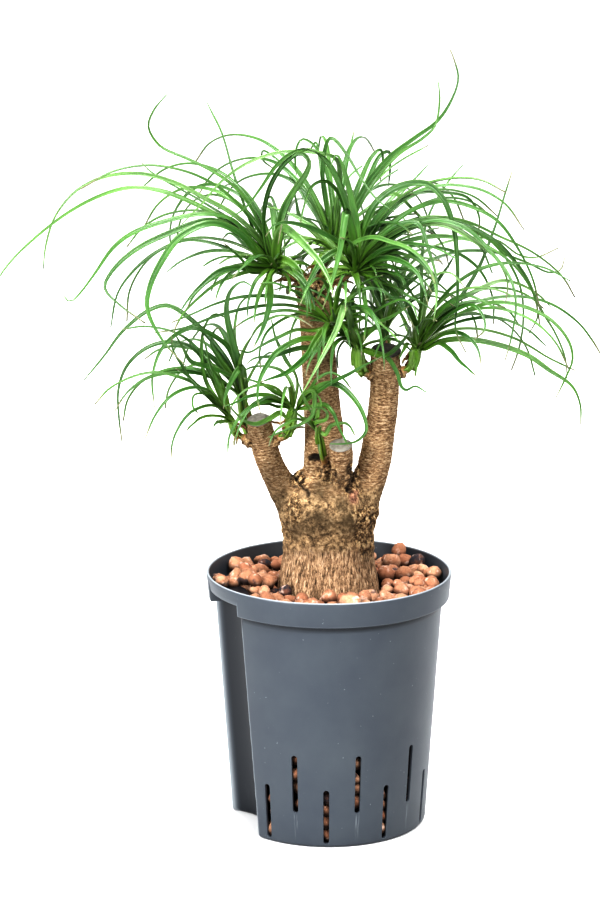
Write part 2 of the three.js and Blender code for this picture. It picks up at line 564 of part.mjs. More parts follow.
function crossAxes(along) {
  const side = new THREE.Vector3(1, 0, 0).addScaledVector(along, -along.x).normalize();
  return [side, along.clone().cross(side)];
}

/** A limb: rings of points with a low ridge on every second ring. */
function makeLimb(limb, steps, columns) {
  const stations = limbStations(limb, steps);
  const last = stations.length - 1;
  return turned(stations.length + 2, columns, (row, column) => {
    const station = stations[Math.min(Math.max(row - 1, 0), last)];
    if (row === 0 || row === stations.length + 1) return station.centre.toArray();
    const [side, front] = crossAxes(station.along);
    const ridge = row - 1 === last ? 0 : (row % 2 === 0 ? 1 : -1) * RING_RELIEF;
    const turn = (2 * Math.PI * column) / columns;
    return station.centre.clone()
      .addScaledVector(side, (station.radius + ridge) * Math.cos(turn))
      .addScaledVector(front, (station.radius + ridge) * Math.sin(turn)).toArray();
  });
}

function makeTrunk() {
  return wholeBody(wasm.Manifold.union([
    makeCaudex(),
    ...Object.keys(LIMBS).map((name) => makeLimb(LIMBS[name], ...LIMB_FACETS[name])),
  ]));
}

/** A disc of wound wax just off a limb's cut end, with a low dome. */
function makeCap(limb) {
  const { centre, along, radius } = limbStations(limb, limb.length).pop();
  const [side, front] = crossAxes(along);
  const rows = [
    [0, 0],
    [radius - CAP_EDGE / 2, 0],
    [radius, CAP_EDGE],
    [radius - CAP_DOME, CAP_THICKNESS - 0.4],
    [0, CAP_THICKNESS],
  ];
  const columns = 16;
  return turned(rows.length, columns, (row, column) => {
    const turn = (2 * Math.PI * column) / columns;
    return centre.clone().addScaledVector(along, CAP_GAP + rows[row][1])
      .addScaledVector(side, rows[row][0] * Math.cos(turn))
      .addScaledVector(front, rows[row][0] * Math.sin(turn)).toArray();
  });
}

// ---- expanded clay ------------------------------------------------------

/**
 * The filling under the pebbles: the pot's inside, less a hole for the trunk. Its rows
 * run down, as the pot's inside does, so that both split their facets the same way.
 */
function makeBed() {
  const heights = [BED_TOP, SHOULDER_HEIGHT, WAIST_HEIGHT, FLOOR + CLEARANCE];
  const bed = turned(heights.length + 2, COLUMNS.length, (row, column) => {
    const z = heights[Math.min(Math.max(row - 1, 0), heights.length - 1)];
    if (row === 0 || row === heights.length + 1) return [0, 0, z];
    const height = Math.min(z, SHOULDER_HEIGHT);
    const inside = wallRadius(height) - WALL - CLEARANCE;
    return aroundPot(flutedRadius(inside, height, COLUMNS[column], WALL + CLEARANCE), COLUMNS[column], z);
  });
  return bed.subtract(trunkHole());
}

/** One pebble: a stretched icosahedron, turned at random. */
function makePebble(size, middle, draw) {
  const turn = new THREE.Euler(6 * draw(), 6 * draw(), 6 * draw());
  const stretch = [between(PEBBLE_STRETCH, draw()), between(PEBBLE_STRETCH, draw()), PEBBLE_FLAT];
  const matrix = new THREE.Matrix4().makeTranslation(...middle)
    .multiply(new THREE.Matrix4().makeRotationFromEuler(turn))
    .multiply(new THREE.Matrix4().makeScale(...stretch));
  return solidFrom(new THREE.IcosahedronGeometry(size, 0), matrix);
}

/** The filling, with a layer of pebbles set on its top in a spiral of even spread. */
function makeGranules() {
  const draw = draws(PEBBLE_SEED);
  const golden = Math.PI * (3 - Math.sqrt(5));
  const pieces = [makeBed()];
  for (let pebble = 0; pebble < PEBBLE_COUNT; pebble += 1) {
    const size = between(PEBBLE_RADIUS, draw());
    const turn = pebble * golden;
    const offset = ((((THREE.MathUtils.radToDeg(turn) - GAUGE_AZIMUTH) % 360) + 540) % 360) - 180;
    const wall = flutedRadius(wallRadius(SHOULDER_HEIGHT) - WALL, SHOULDER_HEIGHT, offset, WALL);
    const outer = wall - PEBBLE_STRETCH[1] * size - PEBBLE_GAP;
    const inner = Math.hypot(...caudexPoint(BED_TOP, turn, 0).slice(0, 2)) + size + PEBBLE_GAP;
    if (outer < inner) continue;
    const share = (pebble + 0.5) / PEBBLE_COUNT;
    const radius = Math.sqrt(inner * inner + (outer * outer - inner * inner) * share);
    const rise = between(PEBBLE_RISE, draw());
    pieces.push(makePebble(size, [radius * Math.cos(turn), radius * Math.sin(turn), BED_TOP + rise], draw));
  }
  return wholeBody(wasm.Manifold.union(pieces));
}

// ---- foliage ------------------------------------------------------------

/** A place seen at across and up on the middle plane, lying depth behind it. */
function seen(across, up, depth) {
  const nearer = depth / EYE_DISTANCE;
  return new THREE.Vector3(across * (1 + nearer), depth, up + (up - EYE_HEIGHT) * nearer);
}

/** A leaf's middle line from its heart, bent in depth so that its outline stays. */
function seenLine(heart, leaf, swing) {
  const [, , tipDepth, outline] = leaf;
  const flat = [[heart[0], heart[1]], ...outline];
  const lengths = [0];
  for (let point = 1; point < flat.length; point += 1) {
    const step = Math.hypot(flat[point][0] - flat[point - 1][0], flat[point][1] - flat[point - 1][1]);
    lengths.push(lengths[point - 1] + step);
  }
  return flat.map(([across, up], point) => {
    const share = lengths[point] / lengths[lengths.length - 1];
    const depth = heart[2] + (tipDepth - heart[2]) * share + swing * share * (2 - share);
    return seen(across, up, depth);
  });
}

/** A leaf that rises from its root and arches over under its own weight. */
function archLine(root, azimuth, lift, length, droop, swerve) {
  const points = [root.clone()];
  for (let step = 0; step < ARCH_STEPS; step += 1) {
    const share = (step + 0.5) / ARCH_STEPS;
    const climb = THREE.MathUtils.degToRad(lift - droop * share ** ARCH_POWER);
    const turn = THREE.MathUtils.degToRad(azimuth + swerve * share * share);
    const along = new THREE.Vector3(
      Math.cos(climb) * Math.cos(turn), Math.cos(climb) * Math.sin(turn), Math.sin(climb),
    );
    points.push(points[step].clone().addScaledVector(along, length / ARCH_STEPS));
  }
  return points;
}

/** A blade's width along its length: widest past the root, a thread at the tip. */
function bladeWidth(width, share) {
  const root = BLADE_ROOT + (1 - BLADE_ROOT) * Math.min(share / BLADE_SPREAD, 1);
  return Math.max(width * root * (1 - share) ** BLADE_TAPER, BLADE_THREAD);
}

/** Stations along a curve, closer together where it bends. */
function bendStations(curve) {
  const fine = curve.getSpacedPoints(BLADE_SAMPLES);
  const step = fine[0].distanceTo(fine[1]);
  const effort = [0];
  for (let index = 1; index < fine.length; index += 1) {
    const before = fine[index].clone().sub(fine[index - 1]);
    const after = fine[Math.min(index + 1, fine.length - 1)].clone().sub(fine[index]);
    const bend = after.lengthSq() > 0 ? before.angleTo(after) : 0;
    effort.push(effort[index - 1] + step / BLADE_FACET + bend * BLADE_BEND);
  }
  const total = effort[effort.length - 1];
  const facets = Math.round(Math.min(Math.max(total, BLADE_FACETS[0]), BLADE_FACETS[1]));
  const stations = [];
  for (let facet = 0; facet <= facets; facet += 1) {
    const index = effort.findIndex((value) => value >= (total * facet) / facets - 1e-9);
    stations.push({ at: fine[index], share: index / (fine.length - 1) });
  }
  return stations;
}

/** A keeled blade along a middle line, three points to a ring. */
function makeBlade(points, width, face) {
  const curve = new THREE.CatmullRomCurve3(points, false, 'catmullrom', 0.5);
  const line = bendStations(curve);
  const steps = line.length - 1;
  const chord = line[Math.ceil(steps / 2)].at.clone().sub(line[0].at);
  const level = new THREE.Vector3(-chord.y, chord.x, 0).normalize();
  if (level.lengthSq() < 0.5) level.set(0, 1, 0);
  const vertices = [];
  for (let step = 0; step <= steps; step += 1) {
    const { share } = line[step];
    const [before, after] = [line[Math.max(step - 1, 0)], line[Math.min(step + 1, steps)]];
    const along = after.at.clone().sub(before.at).normalize();
    const side = level.clone().addScaledVector(along, -level.dot(along)).normalize();
    side.applyAxisAngle(along, THREE.MathUtils.degToRad(face * (1 + BLADE_TWIST * share)));
    const under = side.clone().cross(along);
    const half = bladeWidth(width, share) / 2;
    vertices.push(line[step].at.clone().addScaledVector(side, half).toArray());
    vertices.push(line[step].at.clone().addScaledVector(under, BLADE_KEEL).toArray());
    vertices.push(line[step].at.clone().addScaledVector(side, -half).toArray());
  }
  const triangles = [[0, 1, 2], [3 * steps, 3 * steps + 2, 3 * steps + 1]];
  for (let step = 0; step < steps; step += 1) {
    for (let corner = 0; corner < 3; corner += 1) {
      const next = (corner + 1) % 3;
      const [a, b] = [3 * step + corner, 3 * step + next];
      triangles.push([a, a + 3, b + 3], [a, b + 3, b]);
    }
  }
  return solidOf(vertices, triangles);
}

/** Points every few millimetres along a line, each with the room it needs. */
function probes(points, roomAt) {
  const curve = new THREE.CatmullRomCurve3(points, false, 'catmullrom', 0.5);
  const count = Math.ceil(curve.getLength() / PROBE_STEP);
  return curve.getSpacedPoints(count).map((point, index) => ({
    x: point.x, y: point.y, z: point.z, room: roomAt(index / count),
  }));
}

const leafProbes = (points, width) => probes(points, (share) => bladeWidth(width, share) / 2);

/** How much of a line, from 0 to 1, runs before it first meets something. */
function clearShare(line, others) {
  for (let index = 0; index < line.length; index += 1) {
    const here = line[index];
    for (const other of others) {
      const room = here.room + other.room + LEAF_GAP;
      const dx = here.x - other.x;
      const dy = here.y - other.y;
      const dz = here.z - other.z;
      if (dx * dx + dy * dy + dz * dz < room * room) return index / line.length;
    }
  }
  return 1;
}

/** The shoot's own stem: a tapered sheath from its foot to its heart. */
function stemLine(shoot) {
  const foot = new THREE.Vector3(...shoot.foot);
  const heart = seen(...shoot.heart);
  const reach = foot.distanceTo(heart) / 3;
  const leave = new THREE.Vector3(...shoot.leave).normalize().multiplyScalar(reach);
  return [foot, foot.clone().add(leave), heart];
}

function makeStem(shoot) {
  const last = STEM_SHAPE.length - 1;
  const line = smoothLine(stemLine(shoot), last);
  return turned(line.length + 2, STEM_SIDES, (row, column) => {
    const step = Math.min(Math.max(row - 1, 0), last);
    const along = line[Math.min(step + 1, last)].clone().sub(line[Math.max(step - 1, 0)]).normalize();
    if (row === 0) return line[0].toArray();
    if (row === line.length + 1) return line[last].clone().addScaledVector(along, 1.5 * shoot.stem).toArray();
    const [side, front] = crossAxes(along);
    const radius = STEM_SHAPE[step] * shoot.stem;
    const turn = (2 * Math.PI * column) / STEM_SIDES;
    return line[step].clone()
      .addScaledVector(side, radius * Math.cos(turn))
      .addScaledVector(front, radius * Math.sin(turn)).toArray();
  });
}

/** The limbs as points that every shoot's leaves keep clear of. */
function limbProbes() {
  return Object.values(LIMBS).flatMap((limb) => limbStations(limb, LIMB_PROBES).map(({ centre, radius }) => (
    { x: centre.x, y: centre.y, z: centre.z, room: radius + LIMB_ROOM })));
}

function settle(entry, points, width, face) {
  entry.blades.push({ points, width, face });
  entry.taken = entry.taken.concat(leafProbes(points, width));
}

/** Lays a shoot's read leaves, each at the first depth at which it meets nothing. */
function layReadLeaves(entry, obstacles) {
  for (const leaf of entry.shoot.leaves) {
    const [width, face] = leaf;
    const options = DEPTH_SWINGS.map((swing) => seenLine(entry.shoot.heart, leaf, swing));
    const clear = options.find((points) => clearShare(leafProbes(points, width), obstacles) === 1);
    if (clear) settle(entry, clear, width, face);
  }
}

/** Lays a shoot's added leaves, each drawn again until it meets nothing. */
function layAddedLeaves(entry, obstacles, draw) {
  const { shoot } = entry;
  const root = seen(...shoot.heart);
  for (let leaf = 0; leaf < shoot.fill; leaf += 1) {
    for (let attempt = 0; attempt < FILL_ATTEMPTS; attempt += 1) {
      const azimuth = between(shoot.around, draw());
      const lift = between(FILL_LIFT, draw());
      const length = between(shoot.reach, draw());
      const droop = between(FILL_DROOP, draw());
      const swerve = between(FILL_SWERVE, draw());
      const width = between(FILL_WIDTH, draw());
      const points = archLine(root, azimuth, lift, length, droop, swerve);
      if (clearShare(leafProbes(points, width), obstacles) === 1) {
        settle(entry, points, width, between(FILL_FACE, draw()));
        break;
      }
    }
  }
}

/** Chooses every leaf's line: read leaves first, then the leaves added by rule. */
function layLeaves() {
  const limbs = limbProbes();
  const laid = SHOOTS.map((shoot) => ({
    shoot, blades: [], taken: probes(stemLine(shoot), () => shoot.stem * STEM_ROOM),
  }));
  const others = (own) => limbs.concat(...laid.filter((entry) => entry !== own).map((entry) => entry.taken));
  for (const entry of laid) layReadLeaves(entry, others(entry));
  const draw = draws(FILL_SEED);
  for (const entry of laid) layAddedLeaves(entry, others(entry), draw);
  return laid;
}

function makeFoliage() {
  return layLeaves().map(({ shoot, blades }) => ({
    name: shoot.name,
    solid: wholeBody(wasm.Manifold.union([
      makeStem(shoot), ...blades.map(({ points, width, face }) => makeBlade(points, width, face)),
    ])),
  }));
}

// ---- the plant ----------------------------------------------------------

function meshOf(name, solid, material) {
  const { vertProperties, triVerts } = solid.getMesh();
  const geometry = new THREE.BufferGeometry();
  geometry.setAttribute('position', new THREE.BufferAttribute(new Float32Array(vertProperties), 3));
  geometry.setIndex(new THREE.BufferAttribute(new Uint32Array(triVerts), 1));
  geometry.computeVertexNormals();
  const mesh = new THREE.Mesh(geometry, material);
  mesh.name = name;
  return mesh;
}

const palm = new THREE.Group();
palm.add(meshOf('culture_pot', makePot(), POT_PLASTIC));
palm.add(meshOf('clay_granules', makeGranules(), CLAY));
palm.add(meshOf('trunk', makeTrunk(), BARK));
palm.add(meshOf('wax_cap_left', makeCap(LIMBS.left), WAX));
palm.add(meshOf('wax_cap_right', makeCap(LIMBS.right), WAX));
palm.add(meshOf('wax_cap_front', makeCap(LIMBS.front), WAX));
for (const { name, solid } of makeFoliage()) palm.add(meshOf(name, solid, LEAF));

export default palm;
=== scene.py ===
# %% [markdown]
# # A ponytail palm in a culture pot
#
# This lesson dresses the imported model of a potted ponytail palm. The pot, the clay,
# the trunk and every head of leaves already stand at their real size and place in a
# fixed frame. Each coarse solid is replaced here by a finer surface worked out with
# numpy from the same measurements. Lengths are written in millimetres and turned to
# metres once, when a mesh is made.

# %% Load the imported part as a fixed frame
import math

import bmesh
import bpy
import numpy as np
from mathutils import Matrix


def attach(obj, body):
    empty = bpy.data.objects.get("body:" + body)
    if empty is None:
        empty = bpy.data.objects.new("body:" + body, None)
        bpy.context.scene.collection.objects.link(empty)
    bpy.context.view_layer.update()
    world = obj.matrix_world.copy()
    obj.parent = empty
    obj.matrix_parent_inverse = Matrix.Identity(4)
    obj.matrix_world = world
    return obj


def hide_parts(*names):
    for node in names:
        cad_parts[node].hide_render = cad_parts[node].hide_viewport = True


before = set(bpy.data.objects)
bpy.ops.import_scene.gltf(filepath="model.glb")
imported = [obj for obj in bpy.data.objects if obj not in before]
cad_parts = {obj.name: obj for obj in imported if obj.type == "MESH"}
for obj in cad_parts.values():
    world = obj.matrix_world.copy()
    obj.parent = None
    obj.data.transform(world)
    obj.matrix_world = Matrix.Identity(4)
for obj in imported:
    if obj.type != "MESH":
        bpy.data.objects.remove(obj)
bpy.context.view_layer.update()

MM = 0.001
print("nodes:", ", ".join(sorted(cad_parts)))

# %% [markdown]
# A surface is a grid of points: one number runs along it and the other round it. The
# helpers below turn such a grid into quads, close its two ends, and test by the
# signed volume that the faces look outwards. They are all that this lesson needs to
# make a mesh.

# %% Grids of points become closed meshes
def grid_faces(rows, columns):
    """Quads between each row of a grid and the next; the columns close in a ring."""
    row, column = np.meshgrid(np.arange(rows - 1), np.arange(columns), indexing="ij")
    here, beside = row * columns + column, row * columns + (column + 1) % columns
    return np.stack([here, beside, beside + columns, here + columns], -1).reshape(-1, 4)


def tube(rings):
    """Points and faces of a tube (rows, columns, 3), each end a fan to its middle."""
    rows, columns = rings.shape[:2]
    points = np.concatenate([rings.reshape(-1, 3), rings[0].mean(0)[None], rings[-1].mean(0)[None]])
    ring = np.arange(columns)
    following = (ring + 1) % columns
    first = np.stack([np.full(columns, rows * columns), following, ring], -1)
    top = (rows - 1) * columns
    last = np.stack([np.full(columns, rows * columns + 1), top + ring, top + following], -1)
    return points, grid_faces(rows, columns).tolist() + first.tolist() + last.tolist()


def signed_volume(points, faces):
    """Six times the volume inside the faces: positive when they look outwards."""
    first = np.array([face[0] for face in faces for _ in face[2:]])
    second = np.array([corner for face in faces for corner in face[1:-1]])
    third = np.array([corner for face in faces for corner in face[2:]])
    return float(np.einsum("ij,ij->", points[first], np.cross(points[second], points[third])))


def make_piece(name, points, faces, sharp=40):
    """A smooth-shaded object at the origin from points in mm; edges past sharp degrees stay sharp."""
    if signed_volume(points, faces) < 0:
        faces = [face[::-1] for face in faces]
    mesh = bpy.data.meshes.new(name)
    mesh.from_pydata((np.asarray(points) * MM).tolist(), [], faces)
    mesh.shade_smooth()
    mesh.set_sharp_from_angle(angle=math.radians(sharp))
    piece = bpy.data.objects.new(name, mesh)
    bpy.context.scene.collection.objects.link(piece)
    return piece


def together(parts):
    """Several (points, faces) as one, with the face numbers moved on."""
    points, faces, count = [], [], 0
    for part_points, part_faces in parts:
        points.append(part_points)
        faces += [[corner + count for corner in face] for face in part_faces]
        count += len(part_points)
    return np.concatenate(points), faces


def give(piece, attribute, values):
    """Stores one number for each vertex, which a material can read by name."""
    layer = piece.data.attributes.new(attribute, "FLOAT", "POINT")
    layer.data.foreach_set("value", np.asarray(values, np.float32))


def places(mesh):
    """A mesh's points, in millimetres."""
    found = np.empty(len(mesh.vertices) * 3, np.float32)
    mesh.vertices.foreach_get("co", found)
    return found.reshape(-1, 3).astype(float) / MM


def settle(piece, slot, material, *nodes):
    """Puts a finished piece in the frame: its finish, its body and the nodes that it stands for."""
    piece.data.materials.append(material)
    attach(piece, "root")
    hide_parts(*nodes)
    print(f"{piece.name}: {sum(len(face.vertices) - 2 for face in piece.data.polygons)} triangles")

# %% [markdown]
# Bark, clay and leaves are irregular, yet the file has to give the same result each
# time. So chance comes from two repeatable sources: a stream of numbers from a seed,
# and value noise, which blends random numbers that sit on the corners of a lattice.

# %% Repeatable chance
def draws(seed):
    """A seeded stream of numbers from 0 to 1, by a linear congruential rule."""
    state = seed
    while True:
        state = (state * 1664525 + 1013904223) & 0xFFFFFFFF
        yield state / 4294967296


def corner_value(cell, seed):
    """A number from 0 to 1 for each whole-numbered lattice corner, by mixing its digits."""
    mixed = (cell[..., 0] * 73856093) ^ (cell[..., 1] * 19349663) ^ (cell[..., 2] * 83492791) ^ (seed * 2654435)
    mixed = (mixed ^ (mixed >> 13)) * 1274126177 & 0x7FFFFFFF
    return ((mixed ^ (mixed >> 16)) & 0xFFFF) / 65535


def noise(points, seed=0):
    """Value noise from 0 to 1: the eight corners round a point, mixed by smooth shares."""
    low = np.floor(points).astype(np.int64)
    share = points - low
    share = share * share * (3 - 2 * share)
    total = 0
    for corner in np.ndindex(2, 2, 2):
        weight = np.prod(np.where(corner, share, 1 - share), -1)
        total = total + weight * corner_value(low + corner, seed)
    return total


def rough(points, seed=0, octaves=3):
    """Fractal noise from -1 to 1: each octave is twice as fine and half as strong."""
    total, reach = 0, 0
    for octave in range(octaves):
        total = total + (2 * noise(points * 2 ** octave + 17.3 * octave, seed + octave) - 1) / 2 ** octave
        reach += 1 / 2 ** octave
    return total / reach


def between(low, high, share):
    return low + (high - low) * share


def smooth_step(low, high, value):
    """0 below low, 1 above high, and an S-shaped ramp between."""
    share = np.clip((value - low) / (high - low), 0, 1)
    return share * share * (3 - 2 * share)

# %% [markdown]
# A colour in a paint program is an sRGB value, and Blender's shaders work in linear
# light, so one function turns the first into the second. One more function adds a
# shader node with its settings and its links; every material below is built with it.

# %% Colours and shader nodes
def linear(hex_colour):
    """sRGB hex to linear RGBA: below 0.04045 divided by 12.92, else the 2.4 power curve."""
    channels = [int(hex_colour[place:place + 2], 16) / 255 for place in (1, 3, 5)]
    bent = [value / 12.92 if value <= 0.04045 else ((value + 0.055) / 1.055) ** 2.4 for value in channels]
    return (*bent, 1.0)


def add_node(material, kind, inputs=None, stops=None, **settings):
    """Adds one node: settings are its properties, inputs its sockets' values or links, stops a ramp's colours."""
    made = material.node_tree.nodes.new("ShaderNode" + kind)
    for key, value in settings.items():
        setattr(made, key, value)
    for key, value in (inputs or {}).items():
        if isinstance(value, bpy.types.NodeSocket):
            material.node_tree.links.new(value, made.inputs[key])
        else:
            made.inputs[key].default_value = value
    for place, (position, colour) in enumerate(stops or []):
        elements = made.color_ramp.elements
        element = elements[place] if place < 2 else elements.new(position)
        element.position, element.color = position, linear(colour)
    return made


def new_material(name, colour, roughness, bump=None, **surface):
    """A Principled surface; colour, roughness and bump may be sockets."""
    made = bpy.data.materials[name]
    inputs = {"Base Color": colour, "Roughness": roughness, **surface}
    if bump:
        inputs["Normal"] = bump
    shader = add_node(made, "BsdfPrincipled", inputs)
    output = add_node(made, "OutputMaterial", {"Surface": shader.outputs[0]})
    output.is_active_output = True
    return made


def blank_material(name):
    """An empty material with a shader tree, for nodes that are linked later."""
    made = bpy.data.materials.new(name)
    made.use_nodes = True
    made.node_tree.nodes.clear()
    return made

# %% [markdown]
# The photograph was taken from well back with a long lens, a little above the plant.
# The rim's two ellipses give the height of the eye, and the pot's taper the distance:
# 2.4 m away and 0.865 m up, looking 13.7 degrees down.

# %% Camera
EYE = (0.0, -2.4, 0.865)
PITCH_DOWN = 13.69
POT_AXIS_ANGLE = 0.507  # the pot stands 30 pixels right of the picture's middle
FOCAL_PIXELS = 3392
PICTURE_HEIGHT = 900
SENSOR = 36.0

camera_data = bpy.data.cameras.new("camera")
camera_data.sensor_width = SENSOR
camera_data.lens = SENSOR * FOCAL_PIXELS / PICTURE_HEIGHT
camera = bpy.data.objects.new("camera", camera_data)
camera.location = EYE
camera.rotation_euler = (math.radians(90 - PITCH_DOWN), 0, math.radians(POT_AXIS_ANGLE))
bpy.context.scene.collection.objects.link(camera)
bpy.context.scene.camera = camera
print(f"lens {camera_data.lens:.1f} mm")

# %% [markdown]
# The background is a studio white. The sky is brightest overhead and dim round the
# horizon, as under a large ceiling softbox, so the floor is white while upright
# surfaces keep their shading. The key lamp stands high at the front right, and a weak
# one at the left draws the sheen on the pot. A white floor would also light the
# leaves from below, so diffuse rays pass through it to the dim lower sky.

# %% Floor and light
FLOOR_REACH = 30.0
HORIZON_LIGHT = 0.36
CEILING_LIGHT = 1.68
VIEW_GAMMA = 0.62
LAMPS = {
    # name: place, width and height in metres, power in watts
    "key": ((0.9, -2.3, 2.4), 0.9, 74),
    "sheen": ((-1.9, -2.0, 1.1), 1.1, 86),
    "top": ((0.1, 0.3, 2.6), 0.9, 44),
}

floor_finish = blank_material("pale studio floor")
new_material("pale studio floor", linear("#f9f9f9"), 0.9)
floor_points = np.array([(-1, -1, 0), (1, -1, 0), (1, 1, 0), (-1, 1, 0)]) * FLOOR_REACH / MM
floor_mesh = bpy.data.meshes.new("studio_floor")
floor_mesh.from_pydata((floor_points * MM).tolist(), [], [[0, 1, 2, 3]])
floor_mesh.materials.append(floor_finish)
floor = bpy.data.objects.new("studio_floor", floor_mesh)
floor.visible_diffuse = False
bpy.context.scene.collection.objects.link(floor)

for name, (place, size, power) in LAMPS.items():
    lamp_data = bpy.data.lights.new(name, "AREA")
    lamp_data.size, lamp_data.energy = size, power
    lamp = bpy.data.objects.new(name, lamp_data)
    lamp.location = place
    aim = np.array([0, 0, 0.3]) - np.array(place)
    tilt = math.atan2(math.hypot(aim[0], aim[1]), -aim[2])
    lamp.rotation_euler = (tilt, 0, math.atan2(aim[1], aim[0]) - math.pi / 2)
    bpy.context.scene.collection.objects.link(lamp)

sky = bpy.data.worlds.new("studio")
bpy.context.scene.world = sky
sky.use_nodes = True
aloft = add_node(sky, "SeparateXYZ", {0: add_node(sky, "TexCoord").outputs["Generated"]})
glow = add_node(sky, "MapRange", {0: aloft.outputs[2], 1: 0, 2: 1, 3: HORIZON_LIGHT, 4: HORIZON_LIGHT + CEILING_LIGHT})
sky.node_tree.links.new(glow.outputs[0], sky.node_tree.nodes["Background"].inputs["Strength"])
sky.node_tree.nodes["Background"].inputs["Color"].default_value = (1, 1, 1, 1)
bpy.context.scene.view_settings.view_transform = "Standard"
bpy.context.scene.view_settings.gamma = VIEW_GAMMA

# %% [markdown]
# The pot is injection-moulded polypropylene: a tapering wall 2.2 mm thick that steps
# out to a deep rim, a flute pressed into one side for a water gauge, and two rows of
# drainage slots. One section is carried round the axis. The flute is the circle of
# the gauge biting into the wall, and a smooth minimum of the two radii rounds the
# edge between them as the mould does.

# %% Pot measurements
POT_HEIGHT = 190
RIM_RADIUS = 90
BASE_RADIUS = 72
SHOULDER_RADIUS = 83.5
SHOULDER_HEIGHT = 171
WALL = 2.2
FLOOR_THICKNESS = 3
BASE_ROUNDING = 3
RIM_LIP = 1.6
RIM_DRAFT = 1.5
GAUGE_AZIMUTH = 199.5
FLUTE_CENTRE = 1.26
GAUGE_RADIUS = 40
EDGE_SOFTNESS = 0.35
NOTCH_HEIGHT = 179
NOTCH = (-7, 22.5)
# SKIRT_SHADOW is the strength of a painted shadow on the wall under the skirt
SKIRT_SHADOW = 0.8
# SKIRT_HIGHLIGHT is the strength of a faint painted highlight along the skirt's foot
SKIRT_HIGHLIGHT = 0.12
SLOT_WIDTH = 4
SLOT_PITCH = 17.7
SLOT_FIRST = -126.6
SLOT_COUNT = 17
SLOT_ROWS = ((3.2, 41.5), (26.5, 44))  # foot and length, taken in turn round the pot


def wall_radius(height):
    """The wall's outer radius, growing evenly from the base to the shoulder."""
    return BASE_RADIUS + (SHOULDER_RADIUS - BASE_RADIUS) * height / SHOULDER_HEIGHT


def fluted(radius, height, offset, wall):
    """The radius with the gauge's circle pressed in, by a smooth minimum of the two."""
    turn = np.radians(offset)
    centre = FLUTE_CENTRE * wall_radius(height)
    bite = GAUGE_RADIUS + wall
    side = centre * np.sin(turn)
    inside = (np.abs(side) < bite) & (np.cos(turn) > 0)
    near = centre * np.cos(turn) - np.sqrt(np.maximum(bite ** 2 - side ** 2, 0))
    near = np.where(inside, near, radius + 50)
    gap = np.minimum(np.abs(near - radius) / EDGE_SOFTNESS, 40)
    return np.minimum(near, radius) - EDGE_SOFTNESS * np.log1p(np.exp(-gap))


def about_pot(radius, offset, height):
    """Points at a radius, at degrees round from the flute's middle, and at a height."""
    azimuth = np.radians(GAUGE_AZIMUTH + offset)
    return np.stack(np.broadcast_arrays(radius * np.cos(azimuth), radius * np.sin(azimuth), height), -1)

# %% Pot surface
def quarter(start, end, steps=5):
    """Shares (across, up) round a quarter circle, from flat to upright."""
    turn = np.linspace(0, np.pi / 2, steps)
    return [(between(start[0], end[0], math.sin(t)), between(start[1], end[1], 1 - math.cos(t))) for t in turn]


def pot_rings(offset):
    """The pot's section at every offset: underside, wall, rim, lip, inside, floor."""
    step = np.where((offset >= NOTCH[0]) & (offset <= NOTCH[1]), NOTCH_HEIGHT, SHOULDER_HEIGHT)
    rim_foot = RIM_RADIUS - RIM_DRAFT
    rings = [about_pot(0.5 * fluted(BASE_RADIUS - BASE_ROUNDING, 0, offset, BASE_ROUNDING), offset, 0)]

    def wall(height, inset):
        return about_pot(fluted(wall_radius(height) - inset, height, offset, inset), offset, height)

    rings += [wall(height, inset) for inset, height in quarter((BASE_ROUNDING, 0), (0, BASE_ROUNDING))]
    rings += [wall(between(BASE_ROUNDING, step - 5.5, share), 0) for share in np.linspace(0, 1, 12)[1:]]
    rings += [wall(step - 2.6, 0), wall(step - 1, 0), wall(step - 0.3, -0.25), wall(step, -1)]
    rings += [about_pot(rim_foot - 0.6, offset, step), about_pot(rim_foot, offset, step + 0.5)]
    rings += [about_pot(between(rim_foot, RIM_RADIUS, share), offset, between(step + 0.5, POT_HEIGHT - RIM_LIP, share))
              for share in (0.06, 0.33, 0.66, 1)]
    middle = RIM_RADIUS - WALL / 2
    for turn in np.linspace(0, np.pi, 9)[1:]:
        rings.append(about_pot(middle + WALL / 2 * math.cos(turn), offset, POT_HEIGHT - RIM_LIP + RIM_LIP * math.sin(turn)))
    rings += [about_pot(rim_foot - WALL, offset, step + WALL + 1), about_pot(rim_foot - WALL - 1, offset, step + WALL)]
    rings += [wall(step + WALL, WALL - 1), wall(step + WALL - 0.6, WALL)]
    rings += [wall(between(step + WALL - 1, FLOOR_THICKNESS + 2, share), WALL) for share in np.linspace(0, 1, 9)]
    rings += [wall(FLOOR_THICKNESS, WALL + 1.5)]
    rings += [about_pot(0.5 * fluted(BASE_RADIUS - 2 * WALL, 0, offset, WALL), offset, FLOOR_THICKNESS)]
    return np.stack([np.broadcast_to(ring, (len(offset), 3)) for ring in rings])


def slot_cutter(azimuth, foot, length):
    """A slot's outline with half-round ends, carried through the wall and flared at its mouth."""
    turn = np.linspace(0, 2 * np.pi, 20, endpoint=False)
    across, end = np.cos(turn), np.sign(np.sin(turn) + 1e-9)
    rings = []
    lean = (SHOULDER_RADIUS - BASE_RADIUS) / SHOULDER_HEIGHT
    for depth, flare in ((6, 0.5), (0.4, 0.5), (-0.35, 0), (-9, 0)):
        half = SLOT_WIDTH / 2 + flare
        height = foot + length / 2 + end * (length - SLOT_WIDTH) / 2 + half * np.sin(turn)
        radius = BASE_RADIUS + lean * height + depth
        x, y = radius, half * across
        rings.append(np.stack([x * math.cos(azimuth) - y * math.sin(azimuth),
                               x * math.sin(azimuth) + y * math.cos(azimuth), height], -1))
    return tube(np.stack(rings))


